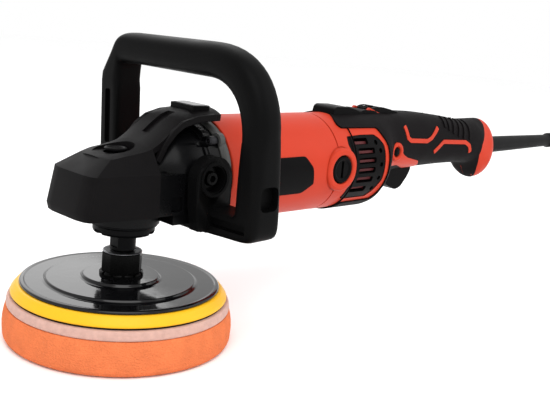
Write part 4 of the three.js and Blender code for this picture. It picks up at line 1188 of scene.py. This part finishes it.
def make_dial():
    """A knurled thumb wheel with generic numbers round its rim."""
    x, _, z = DIAL
    step = 2 * math.pi / 36
    teeth = []
    for k in range(36):
        for turn, sunk in ((0, 0), (0.45, 0), (0.55, 0.8), (0.95, 0.8)):
            r, b = DIAL_RADIUS - sunk, (k + turn) * step
            teeth.append((x + r * math.cos(b), z + r * math.sin(b)))
    wheel = carve(prism("dial_wheel", teeth, "y", -4.8, 4.8), rod("dial_bore", "y", 2.3, -9, 9, DIAL, 32))
    piece(soften(wheel, 0.2), PLASTIC, "speed_dial", ("speed_dial",))
    for number in range(1, 7):
        text = bpy.data.curves.new(f"dial_number_{number}", "FONT")
        text.body = str(number)
        text.size, text.extrude = 3.4 * MM, 0.15 * MM
        text.align_x = text.align_y = "CENTER"
        obj = bpy.data.objects.new(f"dial_number_{number}", text)
        bpy.context.scene.collection.objects.link(obj)
        turn = math.radians(-100 + 40 * (number - 1))
        out = Vector((math.sin(turn), 0, math.cos(turn)))
        along = Vector((math.cos(turn), 0, -math.sin(turn)))
        place = Matrix((-Vector((0, 1, 0)), along, out)).transposed().to_4x4()
        place.translation = (Vector(DIAL) + out * DIAL_RADIUS) * MM
        obj.matrix_world = place
        piece(obj, WHITE, "speed_dial")


def make_controls():
    blade = [(262.8, 104), (272, 101.5), (275.6, 99), (277.6, 94), (283, 88.8), (293.5, 84.8), (301, 86.6),
             (309, 95), (313.3, 101.5), (313.8, 108), (290, 109.5), (268, 111), (262.8, 110.5)]
    trigger = carve(prism("trigger_blade", fillet(blade, 2.5), "y", -7.8, 7.8),
                    rod("pivot_room", "y", 2, -10, 10, (266, 0, 107.5), 32))
    piece(soften(trigger, 1.6, 3), PLASTIC, "trigger", ("trigger",))
    profile = [(0, -30.4), (2.4, -30.3), (3.4, -29.6), (3.8, -28.8), (3.8, -21), (5, -21), (5, -19), (0, -19)]
    button = lathe("lock_on_round", profile, "y", LOCK_ON, 48)
    piece(soften(button, 0), PLASTIC, "lock_on", ("lock_on_button",))


make_top()
make_dial()
make_controls()


# ---- rear end and sleeve ----

SLEEVE_AXIS = (0, 0, 119)


def make_end():
    """The oval end cap, whose front edge wraps forward at the sides, and the long plain sleeve."""
    rings = []
    for x in (404.5, 406, 409, 412, 415, 418, 421, 423.5, 425.5, 427, 429, 431, 432.6, 434, 435.3, 436.5,
              437.4, 438):
        near = [on_rear(x, ARC * (-90 + 6 * k), -0.25 if x < 424 else 0) for k in range(31)]
        near = [(a, b + 0.15, c) for a, b, c in near]
        rings.append(near + [(a, -b, c) for a, b, c in reversed(near[1:-1])])
    cap = loft("end_cap_round", rings)
    cap = carve(cap, rod("sleeve_room", "x", 8.6, 430, 445, SLEEVE_AXIS, 64),
                rod("cap_room", "x", 18, 400, 428, (0, 0, 122), 64))
    piece(soften(cap, 0.3), RED, stands_for=("rear_end_cap",))
    sleeve = [(4.1, 422), (12, 422), (12, 426), (8.4, 426), (8.4, 440), (8.3, 462), (7.9, 490), (7.2, 530),
              (6.7, 560), (6.5, 573), (7.4, 574.4), (8.1, 576), (8.1, 581.5), (7.4, 583.4), (6.2, 584),
              (4.1, 584)]
    piece(soften(lathe("sleeve_round", sleeve, "x", SLEEVE_AXIS, 64), 0), CORD, stands_for=("cable_sleeve",),
          slot="black_rubber")


make_end()


# ---- parts seen only from inside keep their CAD shape ----

KEPT = {
    STEEL: ("crown_gear", "pinion", "lower_bearing", "upper_bush", "front_bearing", "rear_bearing",
            "armature_shaft",
            "shell_screw_1", "shell_screw_2", "brush_holder_left", "brush_holder_right"),
    COPPER: ("field_coil_upper", "field_coil_lower", "commutator"),
    LAMINATION: ("stator_core", "armature_core"),
    PLASTIC: ("cooling_fan", "switch_module", "cable_clamp"),
    CARBON: ("carbon_brush_left", "carbon_brush_right"),
    BOARD: ("speed_board",),
}
for material, names in KEPT.items():
    for name in names:
        node = nodes[name]
        for slot in node.material_slots:
            slot.material = material
        if not node.material_slots:
            node.data.materials.append(material)


# ---- floor and light ----

def make_studio():
    floor = made("floor", [(x, y, -0.3) for x, y in circle(0, 0, 4000, 36)], [list(range(36))])
    floor.data.materials.append(FLOOR)
    world = bpy.data.worlds.new("studio")
    bpy.context.scene.world = world
    world.use_nodes = True
    world.node_tree.nodes["Background"].inputs["Color"].default_value = (1, 1, 1, 1)
    world.node_tree.nodes["Background"].inputs["Strength"].default_value = 1.0
    for name, place, size, power in (("key", (-500, -900, 1500), 1.4, 16),
                                     ("fill", (1100, -900, 900), 1.2, 4),
                                     ("back", (500, 1300, 1100), 1.6, 9)):
        data = bpy.data.lights.new(name, "AREA")
        data.shape, data.size, data.energy = "DISK", size, power
        lamp = bpy.data.objects.new(name, data)
        lamp.location = Vector(place) * MM
        lamp.rotation_euler = (Vector((150, 0, 90)) * MM - lamp.location).to_track_quat("-Z", "Y").to_euler()
        bpy.context.scene.collection.objects.link(lamp)
    bpy.context.scene.view_settings.view_transform = "Standard"


make_studio()

bpy.context.view_layer.update()
